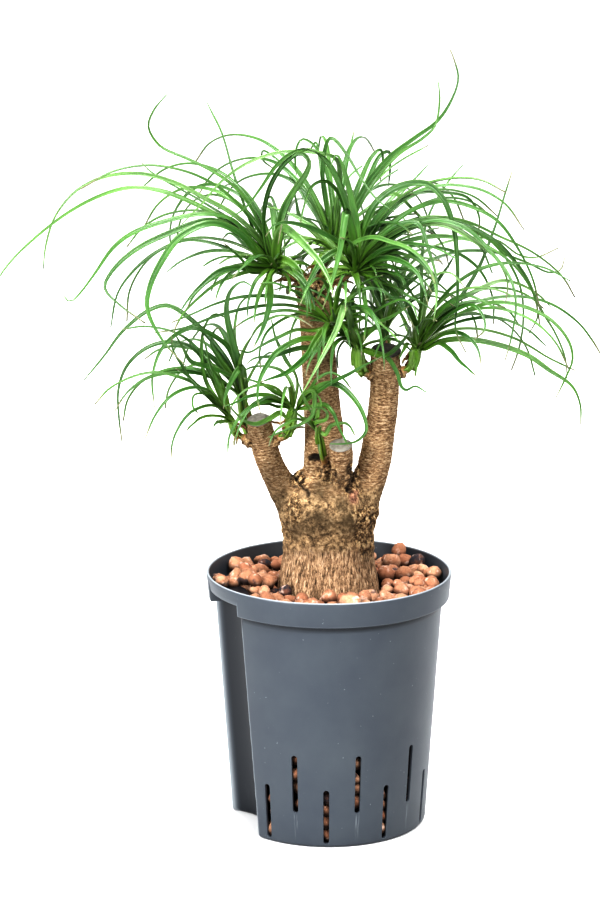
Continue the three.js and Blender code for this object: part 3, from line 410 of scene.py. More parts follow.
offsets = np.concatenate([
    np.arange(-180, -30, 1.5), np.arange(-30, -18, 0.4), np.arange(-18, -7.2, 1.2), [-7.01, -6.99],
    np.arange(-5.8, 18, 1.2), np.arange(18, 22.3, 0.4), [22.49, 22.51], np.arange(22.8, 30, 0.4),
    np.arange(30, 180, 1.5)])
pot = make_piece("pot", *tube(pot_rings(offsets)), sharp=35)
cutter = make_piece("slot_cutter", *together([
    slot_cutter(math.radians(SLOT_FIRST + SLOT_PITCH * slot), *SLOT_ROWS[slot % 2]) for slot in range(SLOT_COUNT)]))


def apply_modifiers(piece):
    """Replaces a piece's mesh by what its modifiers make of it."""
    bpy.context.view_layer.update()
    graph = bpy.context.evaluated_depsgraph_get()
    mesh = bpy.data.meshes.new_from_object(piece.evaluated_get(graph))
    mesh.materials.clear()
    piece.modifiers.clear()
    piece.data = mesh


cut = pot.modifiers.new("slots", "BOOLEAN")
cut.operation, cut.solver, cut.object = "DIFFERENCE", "MANIFOLD", cutter
apply_modifiers(pot)
bpy.data.objects.remove(cutter)
pot.data.shade_smooth()
pot.data.set_sharp_from_angle(angle=math.radians(35))
points = places(pot.data)
round_axis = np.degrees(np.arctan2(points[:, 1], points[:, 0]))
offset = (round_axis - GAUGE_AZIMUTH + 540) % 360 - 180
reach = np.hypot(points[:, 0], points[:, 1])
outer = fluted(wall_radius(points[:, 2]), points[:, 2], offset, 0)
outer = np.where(points[:, 2] > SHOULDER_HEIGHT, np.where(reach > RIM_RADIUS - RIM_DRAFT - WALL - 0.5, 0, 999), outer)
inside = (reach < outer - 1.2) & (points[:, 2] > 1) & (points[:, 2] < POT_HEIGHT - 0.8)
give(pot, "pot_inside", inside)
up = points[:, 2]
wall, centre = wall_radius(up), FLUTE_CENTRE * wall_radius(up)
edge_angle = np.degrees(np.arccos((centre ** 2 + wall ** 2 - GAUGE_RADIUS ** 2) / (2 * centre * wall)))
# pot_painted_shade is painted shade: the whole flute below the shoulder, and a painted shadow in a band on the wall
# under the skirt
shaded = smooth_step(edge_angle + 0.2, edge_angle - 2.5, np.abs(offset))
in_notch = (offset > NOTCH[0]) & (offset < NOTCH[1])
step = np.where(in_notch, NOTCH_HEIGHT, SHOULDER_HEIGHT)
on_skirt = (reach > RIM_RADIUS - RIM_DRAFT - 0.8) & (up > SHOULDER_HEIGHT - 0.5)
painted_skirt_shadow = SKIRT_SHADOW * smooth_step(step - 5.5, step - 2.6, up) * (up < step + 0.5)
shaded = np.maximum(shaded * (up < SHOULDER_HEIGHT + 0.5), painted_skirt_shadow)
give(pot, "pot_painted_shade", shaded * ~inside * ~on_skirt)
# worn here is a painted highlight, not wear: along the flute's edges, the top of the lip, the skirt's foot and the
# notch's side
arc = np.radians(1) * reach
worn = np.exp(-((np.abs(offset) - edge_angle) * arc / 0.9) ** 2) * (up < SHOULDER_HEIGHT - 2)
worn = np.maximum(worn, smooth_step(POT_HEIGHT - 1.0, POT_HEIGHT - 0.2, up))
worn = np.maximum(worn, SKIRT_HIGHLIGHT * on_skirt * (np.abs(up - step - 0.5) < 0.6))
notch_side = np.exp(-((offset - NOTCH[1]) * arc / 0.5) ** 2) * (up < NOTCH_HEIGHT + 0.6)
give(pot, "pot_edge_highlight", np.maximum(worn, 0.7 * on_skirt * notch_side) * ~inside)
print("pot vertices:", len(pot.data.vertices))

# %% [markdown]
# Moulded polypropylene in slate grey has a satin skin with the fine grain of the
# mould, a few pale dust specks, and rubbed stripes under the upper slots, where the
# pots are pulled out of one another. The stripes follow the angle round the axis.
# The flute and a band under the skirt are painted shade, the pot's edges carry painted
# highlights, and the inside wall is painted shade.

# %% Satin moulded polypropylene
polypropylene = blank_material("satin slate polypropylene")
where = add_node(polypropylene, "TexCoord").outputs["Object"]
axes = add_node(polypropylene, "SeparateXYZ", {0: where})
inner = add_node(polypropylene, "Attribute", attribute_name="pot_inside")
groove = add_node(polypropylene, "Attribute", attribute_name="pot_painted_shade")
azimuth = add_node(polypropylene, "Math", {0: axes.outputs[1], 1: axes.outputs[0]}, operation="ARCTAN2")
first_high = math.radians(SLOT_FIRST + SLOT_PITCH)
half_turn = math.radians(SLOT_PITCH)
shifted = add_node(polypropylene, "Math", {0: azimuth.outputs[0], 1: half_turn - first_high}, operation="ADD")
wrapped = add_node(polypropylene, "Math", {0: shifted.outputs[0], 1: half_turn}, operation="PINGPONG")
stripe = add_node(polypropylene, "MapRange", {0: wrapped.outputs[0], 1: half_turn * 0.905, 2: half_turn * 0.94})
below = add_node(polypropylene, "MapRange", {0: axes.outputs[2], 1: 0.0265, 2: 0.023})
fading = add_node(polypropylene, "MapRange", {0: axes.outputs[2], 1: 0.004, 2: 0.02})
streaks = add_node(polypropylene, "Mapping", {"Vector": where, "Scale": (1, 1, 0.06)})
scratch = add_node(polypropylene, "TexNoise", {"Vector": streaks.outputs[0], "Scale": 800, "Detail": 3})
rubbed = add_node(polypropylene, "Math", {0: stripe.outputs[0], 1: below.outputs[0]}, operation="MULTIPLY")
faded = add_node(polypropylene, "Math", {0: rubbed.outputs[0], 1: fading.outputs[0]}, operation="MULTIPLY")
patchy = add_node(polypropylene, "MapRange", {0: scratch.outputs[0], 1: 0.46, 2: 0.72})
scuff = add_node(polypropylene, "Math", {0: faded.outputs[0], 1: patchy.outputs[0]}, operation="MULTIPLY")
cloud = add_node(polypropylene, "TexNoise", {"Vector": where, "Scale": 22, "Detail": 4})
shade = add_node(polypropylene, "ValToRGB", {0: cloud.outputs[0]}, stops=[(0.3, "#545b64"), (0.7, "#5f666d")])
dust = add_node(polypropylene, "TexNoise", {"Vector": where, "Scale": 420, "Detail": 1})
speck = add_node(polypropylene, "MapRange", {0: dust.outputs[0], 1: 0.77, 2: 0.82})
marks = add_node(polypropylene, "Math", {0: scuff.outputs[0], 1: speck.outputs[0]}, operation="MAXIMUM")
faint = add_node(polypropylene, "Math", {0: marks.outputs[0], 1: 0.4}, operation="MULTIPLY")
tinted = add_node(polypropylene, "Mix", {0: faint.outputs[0], 6: shade.outputs[0], 7: linear("#b9bfc2")},
                  data_type="RGBA")
# Painted shade in the flute and painted shadow under the skirt, mixed towards near black
painted_shade_share = add_node(polypropylene, "Math", {0: groove.outputs["Fac"], 1: 0.88}, operation="MULTIPLY")
with_painted_shade = add_node(polypropylene, "Mix", {0: painted_shade_share.outputs[0], 6: tinted.outputs[2], 7: linear("#191d24")},
                 data_type="RGBA")
edge = add_node(polypropylene, "Attribute", attribute_name="pot_edge_highlight")
# Painted highlights along the pot's edges, mixed towards a pale grey
painted_edge_highlight = add_node(polypropylene, "Math", {0: edge.outputs["Fac"], 1: 0.75}, operation="MULTIPLY")
edged = add_node(polypropylene, "Mix", {0: painted_edge_highlight.outputs[0], 6: with_painted_shade.outputs[2], 7: linear("#c3c9ce")},
                 data_type="RGBA")
# The inside wall is painted shade: a mottled near black wherever pot_inside is set
inside_shade_mottle = add_node(polypropylene, "TexNoise", {"Vector": where, "Scale": 160, "Detail": 5, "Roughness": 0.65})
stain = add_node(polypropylene, "ValToRGB", {0: inside_shade_mottle.outputs[0]}, stops=[(0.4, "#2c2a31"), (0.75, "#4a4950")])
faces = add_node(polypropylene, "Mix", {0: inner.outputs["Fac"], 6: edged.outputs[2], 7: stain.outputs[0]},
                 data_type="RGBA")
grain = add_node(polypropylene, "TexNoise", {"Vector": where, "Scale": 1400, "Detail": 2})
relief = add_node(polypropylene, "Bump", {"Height": grain.outputs[0], "Strength": 0.12, "Distance": 0.0004})
new_material("satin slate polypropylene", faces.outputs[2], 0.4, relief.outputs[0])
settle(pot, "pot_plastic", polypropylene, "culture_pot")

# %% [markdown]
# The trunk is one grown body. Its swollen base and four limbs are first made as
# separate tubes, and a voxel remesh joins them into one skin of 1 mm faces, as a
# sculptor would. Smoothing the skin where limbs meet gives the webs between them.

# %% Trunk measurements
TRUNK_FOOT = 152
LIMBS = {
    # [x, y, z, radius] up each limb's middle line
    "middle": [
        [-3, 3, 236, 17], [-4, 2, 262, 15], [-4, 2, 282, 14.2], [-4, 3, 300, 13.8],
        [-6, 3, 322, 13.1], [-7.5, 3, 345, 12.5], [-9, 3, 368, 12], [-11, 3, 392, 12.3], [-12, 3, 402, 11.6]],
    "left": [
        [-20, 0, 228, 14], [-26.5, -1.5, 240, 12], [-34, -5, 254, 11], [-41, -8.5, 268, 9.9],
        [-46.3, -12.5, 284, 9.4], [-49.5, -15.6, 298, 9.4], [-50.9, -18.8, 307, 8.6]],
    "right": [
        [18, 0, 226, 14], [22.3, 0, 240, 12.7], [28.8, 0, 255, 12.1], [33.8, -1, 275, 11.4],
        [36.8, -2, 296, 10.9], [39.6, -4, 320, 10.5], [40.2, -5.2, 340, 10.5], [40.8, -10.2, 356.5, 10.9]],
    "front": [
        [5, -12, 246, 8.4], [8.6, -18.5, 261, 7.8], [9.2, -23.5, 273, 8.1], [8.7, -27.6, 284, 8.7],
        [8.3, -30.4, 291, 8.3]],
}
CAUDEX = np.array([
    # [z, radius] of the swollen base
    [TRUNK_FOOT, 30], [160, 36], [172, 39], [182, 37.5], [192, 35.5], [204, 33.5], [215, 32.6],
    [225, 34.5], [234, 36.6], [243, 36.2], [251, 32], [258, 25], [263, 15]])
KNOBS = np.array([
    # [x, y, z, radius] of the knobs of bark that the side shoots grow from, and of the
    # middle limb's fibrous top
    [50.6, -8.6, 339.6, 5.0], [30.5, -10, 338.6, 4.6], [41, 5.7, 340, 4.6], [-58.2, -14.2, 290.8, 5.0],
    [-38.8, -15.6, 291.3, 4.6], [-53, -5, 288, 4.6], [-2.6, -12.6, 273, 3.8], [-5.3, -7.5, 364.6, 4.4],
    [-12, 3, 397.5, 12.2]])
FORKS = np.array([
    # [x, y, z, radius] of the lumps of cork that fill the forks
    [-20.5, -1, 261, 5.4], [17.6, -3, 262, 4.2]])
CAUDEX_FLAT = 0.93
CAUDEX_LOBES = 0.035
LOBE_LEAN = 0.02


def spline(points, share, centripetal=False):
    """Catmull-Rom through points: a cubic per span, its end slopes from the points on both sides."""
    points = np.asarray(points, float)
    ends = np.concatenate([[2 * points[0] - points[1]], points, [2 * points[-1] - points[-2]]])
    place = np.asarray(share, float) * (len(points) - 1)
    span = np.minimum(place.astype(int), len(points) - 2)
    local = (place - span)[:, None]
    a, b, c, d = (ends[span + step] for step in range(4))
    if centripetal:
        gaps = [np.maximum(np.linalg.norm(q - p, axis=-1) ** 0.5, 1e-4)[:, None] for p, q in ((a, b), (b, c), (c, d))]
        start = ((b - a) / gaps[0] - (c - a) / (gaps[0] + gaps[1]) + (c - b) / gaps[1]) * gaps[1]
        end = ((c - b) / gaps[1] - (d - b) / (gaps[1] + gaps[2]) + (d - c) / gaps[2]) * gaps[1]
    else:
        start, end = 0.5 * (c - a), 0.5 * (d - b)
    return (b + start * local + (3 * (c - b) - 2 * start - end) * local ** 2
            + (2 * (b - c) + start + end) * local ** 3)


def spaced(points, count):
    """count + 1 points evenly spaced along a spline, and its length, by 200 short steps."""
    share = np.linspace(0, 1, 201)
    fine = spline(points, share)
    length = np.concatenate([[0], np.cumsum(np.linalg.norm(np.diff(fine, axis=0), axis=-1))])
    return spline(points, np.interp(np.linspace(0, length[-1], count + 1), length, share)), length[-1]


def limb_stations(limb, count):
    """Centres, directions and radii at even steps up a limb."""
    limb = np.array(limb, float)
    share = np.linspace(0, 1, count + 1)
    centre = spline(limb[:, :3], share, centripetal=True)
    ahead = spline(limb[:, :3], np.minimum(share + 1e-4, 1), centripetal=True)
    behind = spline(limb[:, :3], np.maximum(share - 1e-4, 0), centripetal=True)
    along = (ahead - behind) / np.linalg.norm(ahead - behind, axis=-1, keepdims=True)
    radius = np.interp(share * (len(limb) - 1), np.arange(len(limb)), limb[:, 3])
    return centre, along, radius


def cross_axes(along):
    """Two unit vectors square to each direction: one nearest to +X, and one square to both."""
    side = np.array([1.0, 0, 0]) - along * along[..., :1]
    side /= np.linalg.norm(side, axis=-1, keepdims=True)
    return side, np.cross(along, side)


def limb_tube(limb, steps, columns=48):
    """Round rings along a limb's middle line."""
    centre, along, radius = limb_stations(limb, steps)
    side, front = cross_axes(along)
    turn = np.linspace(0, 2 * np.pi, columns, endpoint=False)[None, :, None]
    ring = side[:, None] * np.cos(turn) + front[:, None] * np.sin(turn)
    return tube(centre[:, None] + radius[:, None, None] * ring)


def caudex_radius(height, turn):
    """The base's radius at a height, times four low lobes and seven finer ones that lean."""
    lobes = np.cos(4 * turn + height * LOBE_LEAN) + 0.6 * np.cos(7 * turn - height * LOBE_LEAN)
    return np.interp(height, CAUDEX[:, 0], CAUDEX[:, 1]) * (1 + CAUDEX_LOBES * lobes)


def caudex_tube(columns=120, steps=90):
    """Flattened rings up the swollen base."""
    height, turn = np.meshgrid(np.linspace(CAUDEX[0, 0], CAUDEX[-1, 0], steps),
                               np.linspace(0, 2 * np.pi, columns, endpoint=False), indexing="ij")
    radius = caudex_radius(height, turn)
    return tube(np.stack([radius * np.cos(turn), CAUDEX_FLAT * radius * np.sin(turn), height], -1))

def knob_tube(knob, rings=12, columns=20):
    """A ball as a tube: rings up its height, with radii from the circle's equation."""
    rise = np.sin(np.linspace(-0.48, 0.48, rings) * np.pi)[:, None]
    turn = np.linspace(0, 2 * np.pi, columns, endpoint=False)[None]
    flat = np.sqrt(1 - rise ** 2)
    ball = np.stack([flat * np.cos(turn), flat * np.sin(turn), rise + 0 * turn], -1)
    return tube(knob[:3] + knob[3] * ball)

# %% One skin over the trunk
VOXEL = 0.95
LIMB_STEPS = {"middle": 90, "left": 50, "right": 70, "front": 30}

trunk = make_piece("trunk_bark", *together(
    [caudex_tube()] + [limb_tube(limb, LIMB_STEPS[name]) for name, limb in LIMBS.items()]
    + [knob_tube(knob) for knob in np.concatenate([KNOBS, FORKS])]))
remesh = trunk.modifiers.new("one skin", "REMESH")
remesh.mode, remesh.voxel_size = "VOXEL", VOXEL * MM
apply_modifiers(trunk)


def move_to(mesh, points):
    mesh.vertices.foreach_set("co", (points * MM).astype(np.float32).ravel())
    mesh.update()


def relaxed(mesh, points, amount, rounds):
    """Moves each point towards the mean of its neighbours, by its own amount, for some rounds."""
    ends = np.empty(len(mesh.edges) * 2, np.int32)
    mesh.edges.foreach_get("vertices", ends)
    one, other = ends.reshape(-1, 2).T
    starts, finishes = np.concatenate([one, other]), np.concatenate([other, one])
    count = np.bincount(starts, minlength=len(points))[:, None]
    for _ in range(rounds):
        mean = np.stack([np.bincount(starts, points[finishes, axis], len(points)) for axis in range(3)], -1) / count
        points = points + (mean - points) * amount[:, None]
    return points


skin = places(trunk.data)
web = smooth_step(214, 232, skin[:, 2]) * (1 - smooth_step(262, 275, skin[:, 2]))
skin = relaxed(trunk.data, skin, 0.25 + 0.3 * web, 5)
skin = relaxed(trunk.data, skin, 0.55 * web, 24)
move_to(trunk.data, skin)
print("trunk skin:", len(skin), "points")

# %% [markdown]
# Bark relief is a height added along each point's normal. On the limbs, old leaf
# scars make fine rings 2.4 mm apart that waver and break. The base is cracked by
# short upright fissures, its middle is smoother and mottled, and coarse torn cork
# sits on the shoulders and in the forks. What happened at one place, such as a dark
# crevice or a healed knob, is listed by where it is seen from the front.

# %% Bark relief
RING_PITCH = 2.4
LEDGE = (204, 0.24)  # where the fissured base ends: its height at the sides, its rise to the front
TORN = np.array([
    # [across, up, half width, half height, strength] of torn cork, on the view plane
    [26.8, 229, 13, 11, 1.0], [-25, 236, 6, 14, 0.85], [-2, 263, 9, 9, 0.85], [17, 250, 8, 7, 0.9],
    [26, 213, 9, 16, 0.9], [-31, 216, 6, 13, 0.55], [18, 264, 5, 10, 0.9], [-22, 258, 8, 8, 1.0],
    [8, 256, 8, 5, 0.7]])
STAINS_AND_SHADE = np.array([
    # [across, up, half width, half height, strength] of darker bark, which is painted shade on the left limb and in the
    # trunk's middle
    [-8, 226, 20, 13, 0.8], [9, 241, 7, 10, 1.0], [14, 224, 13, 14, 0.75], [-38, 258, 16, 28, 0.75],
    [-5, 330, 15, 44, 0.4], [-25, 226, 9, 20, 0.6], [26, 206, 9, 14, 0.6], [-52, 292, 9, 10, 0.35],
    [-1, 251, 16, 12, 0.7], [0, 206, 30, 9, 0.35], [-12, 266, 8, 7, 0.4]])
CREVICES = np.array([
    # [across, up, across, up, half width] of clefts, cut in and painted nearly black as shade
    [18.3, 268.4, 14, 250, 1.1], [-25.9, 261.2, -19.1, 252, 1.1]])
SCAR = (18.1, 245.1, 3.2, 5.0)
KNOT = (-18.6, 247.4)
HOLLOW = (-10.4, 274.8, 5, 2.6)


def limb_place(points):
    """How far up the nearest limb each point lies, in mm, measured along the limb's middle line."""
    best = np.full(len(points), 1e9)
    length = np.zeros(len(points))
    for number, limb in enumerate(LIMBS.values()):
        centre, along, radius = limb_stations(limb, 120)
        run = np.concatenate([[0], np.cumsum(np.linalg.norm(np.diff(centre, axis=0), axis=-1))])
        apart = np.linalg.norm(points[:, None] - centre[None], axis=-1) - radius[None]
        nearest = apart.argmin(1)
        closest = apart[np.arange(len(points)), nearest]
        onward = ((points - centre[nearest]) * along[nearest]).sum(-1)
        closer = closest < best
        best = np.where(closer, closest, best)
        length = np.where(closer, run[nearest] + onward + 40 * number, length)
    return length


def normals(mesh):
    found = np.empty(len(mesh.vertices) * 3, np.float32)
    mesh.vertices.foreach_get("normal", found)
    return found.reshape(-1, 3).astype(float)


def on_view_plane(points):
    """Where a point is seen on the middle plane from the front; the back is listed as it lies."""
    nearer = 1 + np.minimum(points[:, 1], 0) / (-EYE[1] / MM)
    return points[:, 0] / nearer, EYE[2] / MM + (points[:, 2] - EYE[2] / MM) / nearer


def bark_zones(points, facing):
    """Shares from 0 to 1 of base, limb, torn cork, cleft, scar, hollow, and stain with painted shade at each point."""
    across, up = on_view_plane(points)
    wander = 2.2 * rough(points / 9, 43, 2)
    ledge = LEDGE[0] + LEDGE[1] * np.maximum(-points[:, 1], 0) + wander
    low = 1 - smooth_step(-3, 6, points[:, 2] - ledge)
    limb = smooth_step(246, 262, points[:, 2] + 3 * wander)
    torn = 0 * low
    for x, z, wide, tall, strength in TORN:
        away = np.hypot((across - x) / wide, (up - z) / tall) + 0.22 * wander / 2.2
        torn = np.maximum(torn, strength * (1 - smooth_step(0.55, 1.25, away)))
    cleft = 0 * low
    for x, z, x_end, z_end, wide in CREVICES:
        length = math.hypot(x_end - x, z_end - z)
        share = np.clip(((across - x) * (x_end - x) + (up - z) * (z_end - z)) / length ** 2, 0, 1)
        away = np.hypot(across - between(x, x_end, share), up - between(z, z_end, share)) + 0.5 * wander
        cleft = np.maximum(cleft, 1 - smooth_step(0.5, 1.6, away / wide))
    front = facing[:, 1] < 0.1
    scar = front * np.exp(-((across - SCAR[0]) / SCAR[2]) ** 4 - ((up - SCAR[1]) / SCAR[3]) ** 4)
    hollow = np.hypot((across - HOLLOW[0]) / HOLLOW[2], (up - HOLLOW[1]) / HOLLOW[3])
    hollow = hollow + 0.35 * rough(points / 2.4, 67, 2)
    hollow = (facing[:, 1] < -0.2) * (1 - smooth_step(0.75, 1.15, hollow))
    stain = 0 * low
    for x, z, wide, tall, strength in STAINS_AND_SHADE:
        away = np.hypot((across - x) / wide, (up - z) / tall) + 0.3 * wander / 2.2
        stain = np.maximum(stain, strength * (1 - smooth_step(0.3, 1.2, away)))
    top = smooth_step(386, 396, points[:, 2])
    for x, y, z, radius in KNOBS[:-1]:
        away = np.linalg.norm(points - [x, y, z], axis=-1) / radius
        top = np.maximum(top, 0.7 * (1 - smooth_step(1.0, 1.5, away)))
    return low, limb, np.maximum(torn, top), cleft * (1 - 0.5 * limb), scar, hollow, stain


def bark_height(points, facing):
    """Rings on limbs, fissures on the base, mottling between, torn cork and clefts, in mm."""
    low, limb, torn, cleft, scar, hollow, stain = bark_zones(points, facing)
    run = limb_place(points)
    phase = run / RING_PITCH + 0.5 * rough(points / 8, 3) + 0.2 * rough(points / 2.5, 5)
    ring = 1 - np.abs(2 * (phase - np.floor(phase)) - 1)
    broken = smooth_step(0.2, 0.6, noise(points / [4.5, 4.5, 2.2], 11))
    rings = 0.45 * (ring ** 0.6 - 0.7) * (0.15 + 0.85 * broken) + 0.5 * rough(points / 11, 13, 2)
    rings += 0.35 * rough(points / [3.2, 3.2, 1.1], 17, 2)

    stretched = points / [1.7, 1.7, 9] + 0.3 * rough(points / 5, 21, 2)[:, None]
    crack = 1 - np.abs(2 * noise(stretched, 23) - 1)
    fissures = -0.6 * smooth_step(0.82, 1, crack) + 0.55 * rough(points / [5, 5, 16], 31, 3)
    fissures += 0.2 * rough(points / [1.3, 1.3, 7], 29, 1)

    mottle = 0.6 * rough(points / 7, 37, 3) + 0.35 * rough(points / 2.1, 41, 2)
    height = limb * rings + low * fissures + (1 - low) * (1 - limb) * mottle
    height += 0.5 * (1 - low) * (1 - limb) * smooth_step(222, 208, points[:, 2])

    crumbs = noise(points / [2.1, 2.1, 2.9], 47)
    height += torn * (3.2 * (crumbs - 0.5) + 1.2 * rough(points / 4.5, 53, 2))
    height -= 2.6 * cleft + 3.4 * hollow
    strands = np.abs(2 * noise(points / [1.9, 1.9, 14], 59) - 1)
    height += scar * (1.2 * strands - 1.0)

    across, up = on_view_plane(points)
    away = np.hypot(across - KNOT[0], up - KNOT[1])
    front = facing[:, 1] < -0.1
    side = smooth_step(-0.1, 0.9, (across - KNOT[0] + 0.5 * (up - KNOT[1])) / np.maximum(away, 0.1))
    rim = side * np.exp(-((away - 3.6) / 1.3) ** 2)
    height += front * (3.0 * np.exp(-(away / 2.6) ** 2) - 1.2 * rim)
    # The clefts, the hollow and one side of the knot's rim are painted nearly black as shade
    dark = np.maximum(cleft, hollow)
    dark = np.maximum(dark, 0.95 * front * rim)
    return height, {"bark_height": height, "bark_run": run, "bark_low": low, "bark_limb": limb,
                    "bark_torn": torn, "bark_dark": dark, "bark_scar": scar, "bark_stain": stain}


facing = normals(trunk.data)
height, bark_values = bark_height(skin, facing)
buried = smooth_step(160, 172, skin[:, 2])
skin = skin + facing * (height * buried)[:, None]
move_to(trunk.data, skin)
trunk.data.shade_smooth()
for attribute, numbers in bark_values.items():
    give(trunk, attribute, numbers)
print(f"bark relief: {height.min():.1f} to {height.max():.1f} mm")

# %% [markdown]
# Corky bark is matt and tan where it is worn. Where the relief is low it is painted
# darker as shade, and the clefts, the hollow and one side of the knot's rim are painted
# nearly black as shade. Some darker patches are painted shade too. Each zone has its
# own pattern at its own grain: rings every 2.4 mm on the limbs, upright fibres a
# millimetre apart on the base, speckles between, and torn flakes on the shoulders.
# The zones and the depth come from the numbers kept on the points.

# %% Dry corky bark
bark = blank_material("dry corky bark")
where = add_node(bark, "TexCoord").outputs["Object"]
kept = {key: add_node(bark, "Attribute", attribute_name="bark_" + key).outputs["Fac"]
        for key in ("height", "run", "low", "limb", "torn", "dark", "scar", "stain")}
wobble = add_node(bark, "TexNoise", {"Vector": where, "Scale": 130, "Detail": 3})
bend = add_node(bark, "Math", {0: wobble.outputs[0], 1: 1.9}, operation="MULTIPLY")
turns_up = add_node(bark, "Math", {0: kept["run"], 1: 1 / RING_PITCH, 2: bend.outputs[0]}, operation="MULTIPLY_ADD")
saw = add_node(bark, "Math", {0: turns_up.outputs[0], 1: 0.5}, operation="PINGPONG")
thin = add_node(bark, "MapRange", {0: saw.outputs[0], 1: 0.16, 2: 0.03})
flat = add_node(bark, "Mapping", {"Vector": where, "Scale": (1, 1, 2.6)})
gap = add_node(bark, "TexNoise", {"Vector": flat.outputs[0], "Scale": 170, "Detail": 4, "Roughness": 0.6})
kept_rings = add_node(bark, "MapRange", {0: gap.outputs[0], 1: 0.44, 2: 0.6, 3: 0.05, 4: 0.8})
ring_dark = add_node(bark, "Math", {0: thin.outputs[0], 1: kept_rings.outputs[0]}, operation="MULTIPLY")
band = add_node(bark, "TexNoise", {"Vector": flat.outputs[0], "Scale": 330, "Detail": 5, "Roughness": 0.75})
limb_tone = add_node(bark, "ValToRGB", {0: band.outputs[0]}, stops=[
    (0.38, "#66503b"), (0.64, "#ead7ba"), (0.46, "#a18363"), (0.54, "#c3a785")])
limb_rings = add_node(bark, "Mix", {0: ring_dark.outputs[0], 6: limb_tone.outputs[0], 7: linear("#69492f")},
                      data_type="RGBA")
tall = add_node(bark, "Mapping", {"Vector": where, "Scale": (1, 1, 0.17)})
fibre = add_node(bark, "TexNoise", {"Vector": tall.outputs[0], "Scale": 640, "Detail": 5, "Roughness": 0.8,
                                    "Distortion": 0.7})
base_tone = add_node(bark, "ValToRGB", {0: fibre.outputs[0]}, stops=[
    (0.4, "#33261c"), (0.66, "#ead6bc"), (0.465, "#836951"), (0.54, "#b99d81")])
blotch = add_node(bark, "TexNoise", {"Vector": where, "Scale": 300, "Detail": 5, "Roughness": 0.8})
cloudy = add_node(bark, "TexNoise", {"Vector": where, "Scale": 62, "Detail": 3})
middle_tone = add_node(bark, "ValToRGB", {0: blotch.outputs[0]}, stops=[
    (0.38, "#443525"), (0.66, "#ddc6a6"), (0.465, "#867055"), (0.54, "#b39a78")])
fibrous = add_node(bark, "Math", {0: kept["low"], 1: 0.78}, operation="MULTIPLY")
lower = add_node(bark, "Mix", {0: fibrous.outputs[0], 6: middle_tone.outputs[0], 7: base_tone.outputs[0]},
                 data_type="RGBA")
whole = add_node(bark, "Mix", {0: kept["limb"], 6: lower.outputs[2], 7: limb_rings.outputs[2]}, data_type="RGBA")
flake = add_node(bark, "TexNoise", {"Vector": where, "Scale": 340, "Detail": 4, "Roughness": 0.85})
flake_tone = add_node(bark, "ValToRGB", {0: flake.outputs[0]}, stops=[
    (0.43, "#1d140c"), (0.6, "#f3dcb4"), (0.49, "#6d5236"), (0.54, "#b3936a")])
cork = add_node(bark, "Mix", {0: kept["torn"], 6: whole.outputs[2], 7: flake_tone.outputs[0]}, data_type="RGBA")
strand = add_node(bark, "ValToRGB", {0: fibre.outputs[0]}, stops=[(0.42, "#6b4331"), (0.58, "#dcae94")])
healed = add_node(bark, "Mix", {0: kept["scar"], 6: cork.outputs[2], 7: strand.outputs[0]}, data_type="RGBA")
cloud_share = add_node(bark, "MapRange", {0: cloudy.outputs[0], 1: 0.38, 2: 0.62, 3: 0.5, 4: 0.95})
# Darker patches, painted shade on the left limb and the trunk's middle among them
stain_and_shade_share = add_node(bark, "Math", {0: cloud_share.outputs[0], 1: kept["stain"]}, operation="MULTIPLY")
dulled = add_node(bark, "Mix", {0: stain_and_shade_share.outputs[0], 6: healed.outputs[2], 7: linear("#463a26")}, data_type="RGBA")
# Painted shade: the low parts of the relief are mixed darker
deep = add_node(bark, "MapRange", {0: kept["height"], 1: -0.25, 2: -1.3, 3: 0, 4: 0.75})
hidden = add_node(bark, "Mix", {0: deep.outputs[0], 6: dulled.outputs[2], 7: linear("#2a1c11")}, data_type="RGBA")
proud = add_node(bark, "MapRange", {0: kept["height"], 1: 0.25, 2: 1.3, 3: 0, 4: 0.3})
worn = add_node(bark, "Mix", {0: proud.outputs[0], 6: hidden.outputs[2], 7: linear("#e6cba6")}, data_type="RGBA")
# bark_dark is painted shade in the clefts, the hollow and the knot's rim
cleft = add_node(bark, "Math", {0: kept["dark"], 1: 0.9}, operation="MULTIPLY")
cleft_shaded = add_node(bark, "Mix", {0: cleft.outputs[0], 6: worn.outputs[2], 7: linear("#170f09")}, data_type="RGBA")
pitted = add_node(bark, "TexNoise", {"Vector": where, "Scale": 800, "Detail": 4, "Roughness": 0.7})
relief = add_node(bark, "Bump", {"Height": pitted.outputs[0], "Strength": 0.6, "Distance": 0.0007})
new_material("dry corky bark", cleft_shaded.outputs[2], 0.88, relief.outputs[0])
settle(trunk, "bark", bark, "trunk")

# %% [markdown]
# Where the grower cut a limb off, the wound was painted with grafting wax. Each cap
# is a thin disc with a low dome and an uneven edge, sitting just on the cut.

# %% Wax caps
CAP_THICKNESS = 1.6
CAP_GAP = 0.4
WAX_TONES = {"left": ("#847e78", "#a8a29b"), "right": ("#3b3733", "#5a544e"), "front": ("#857f77", "#a5a098")}


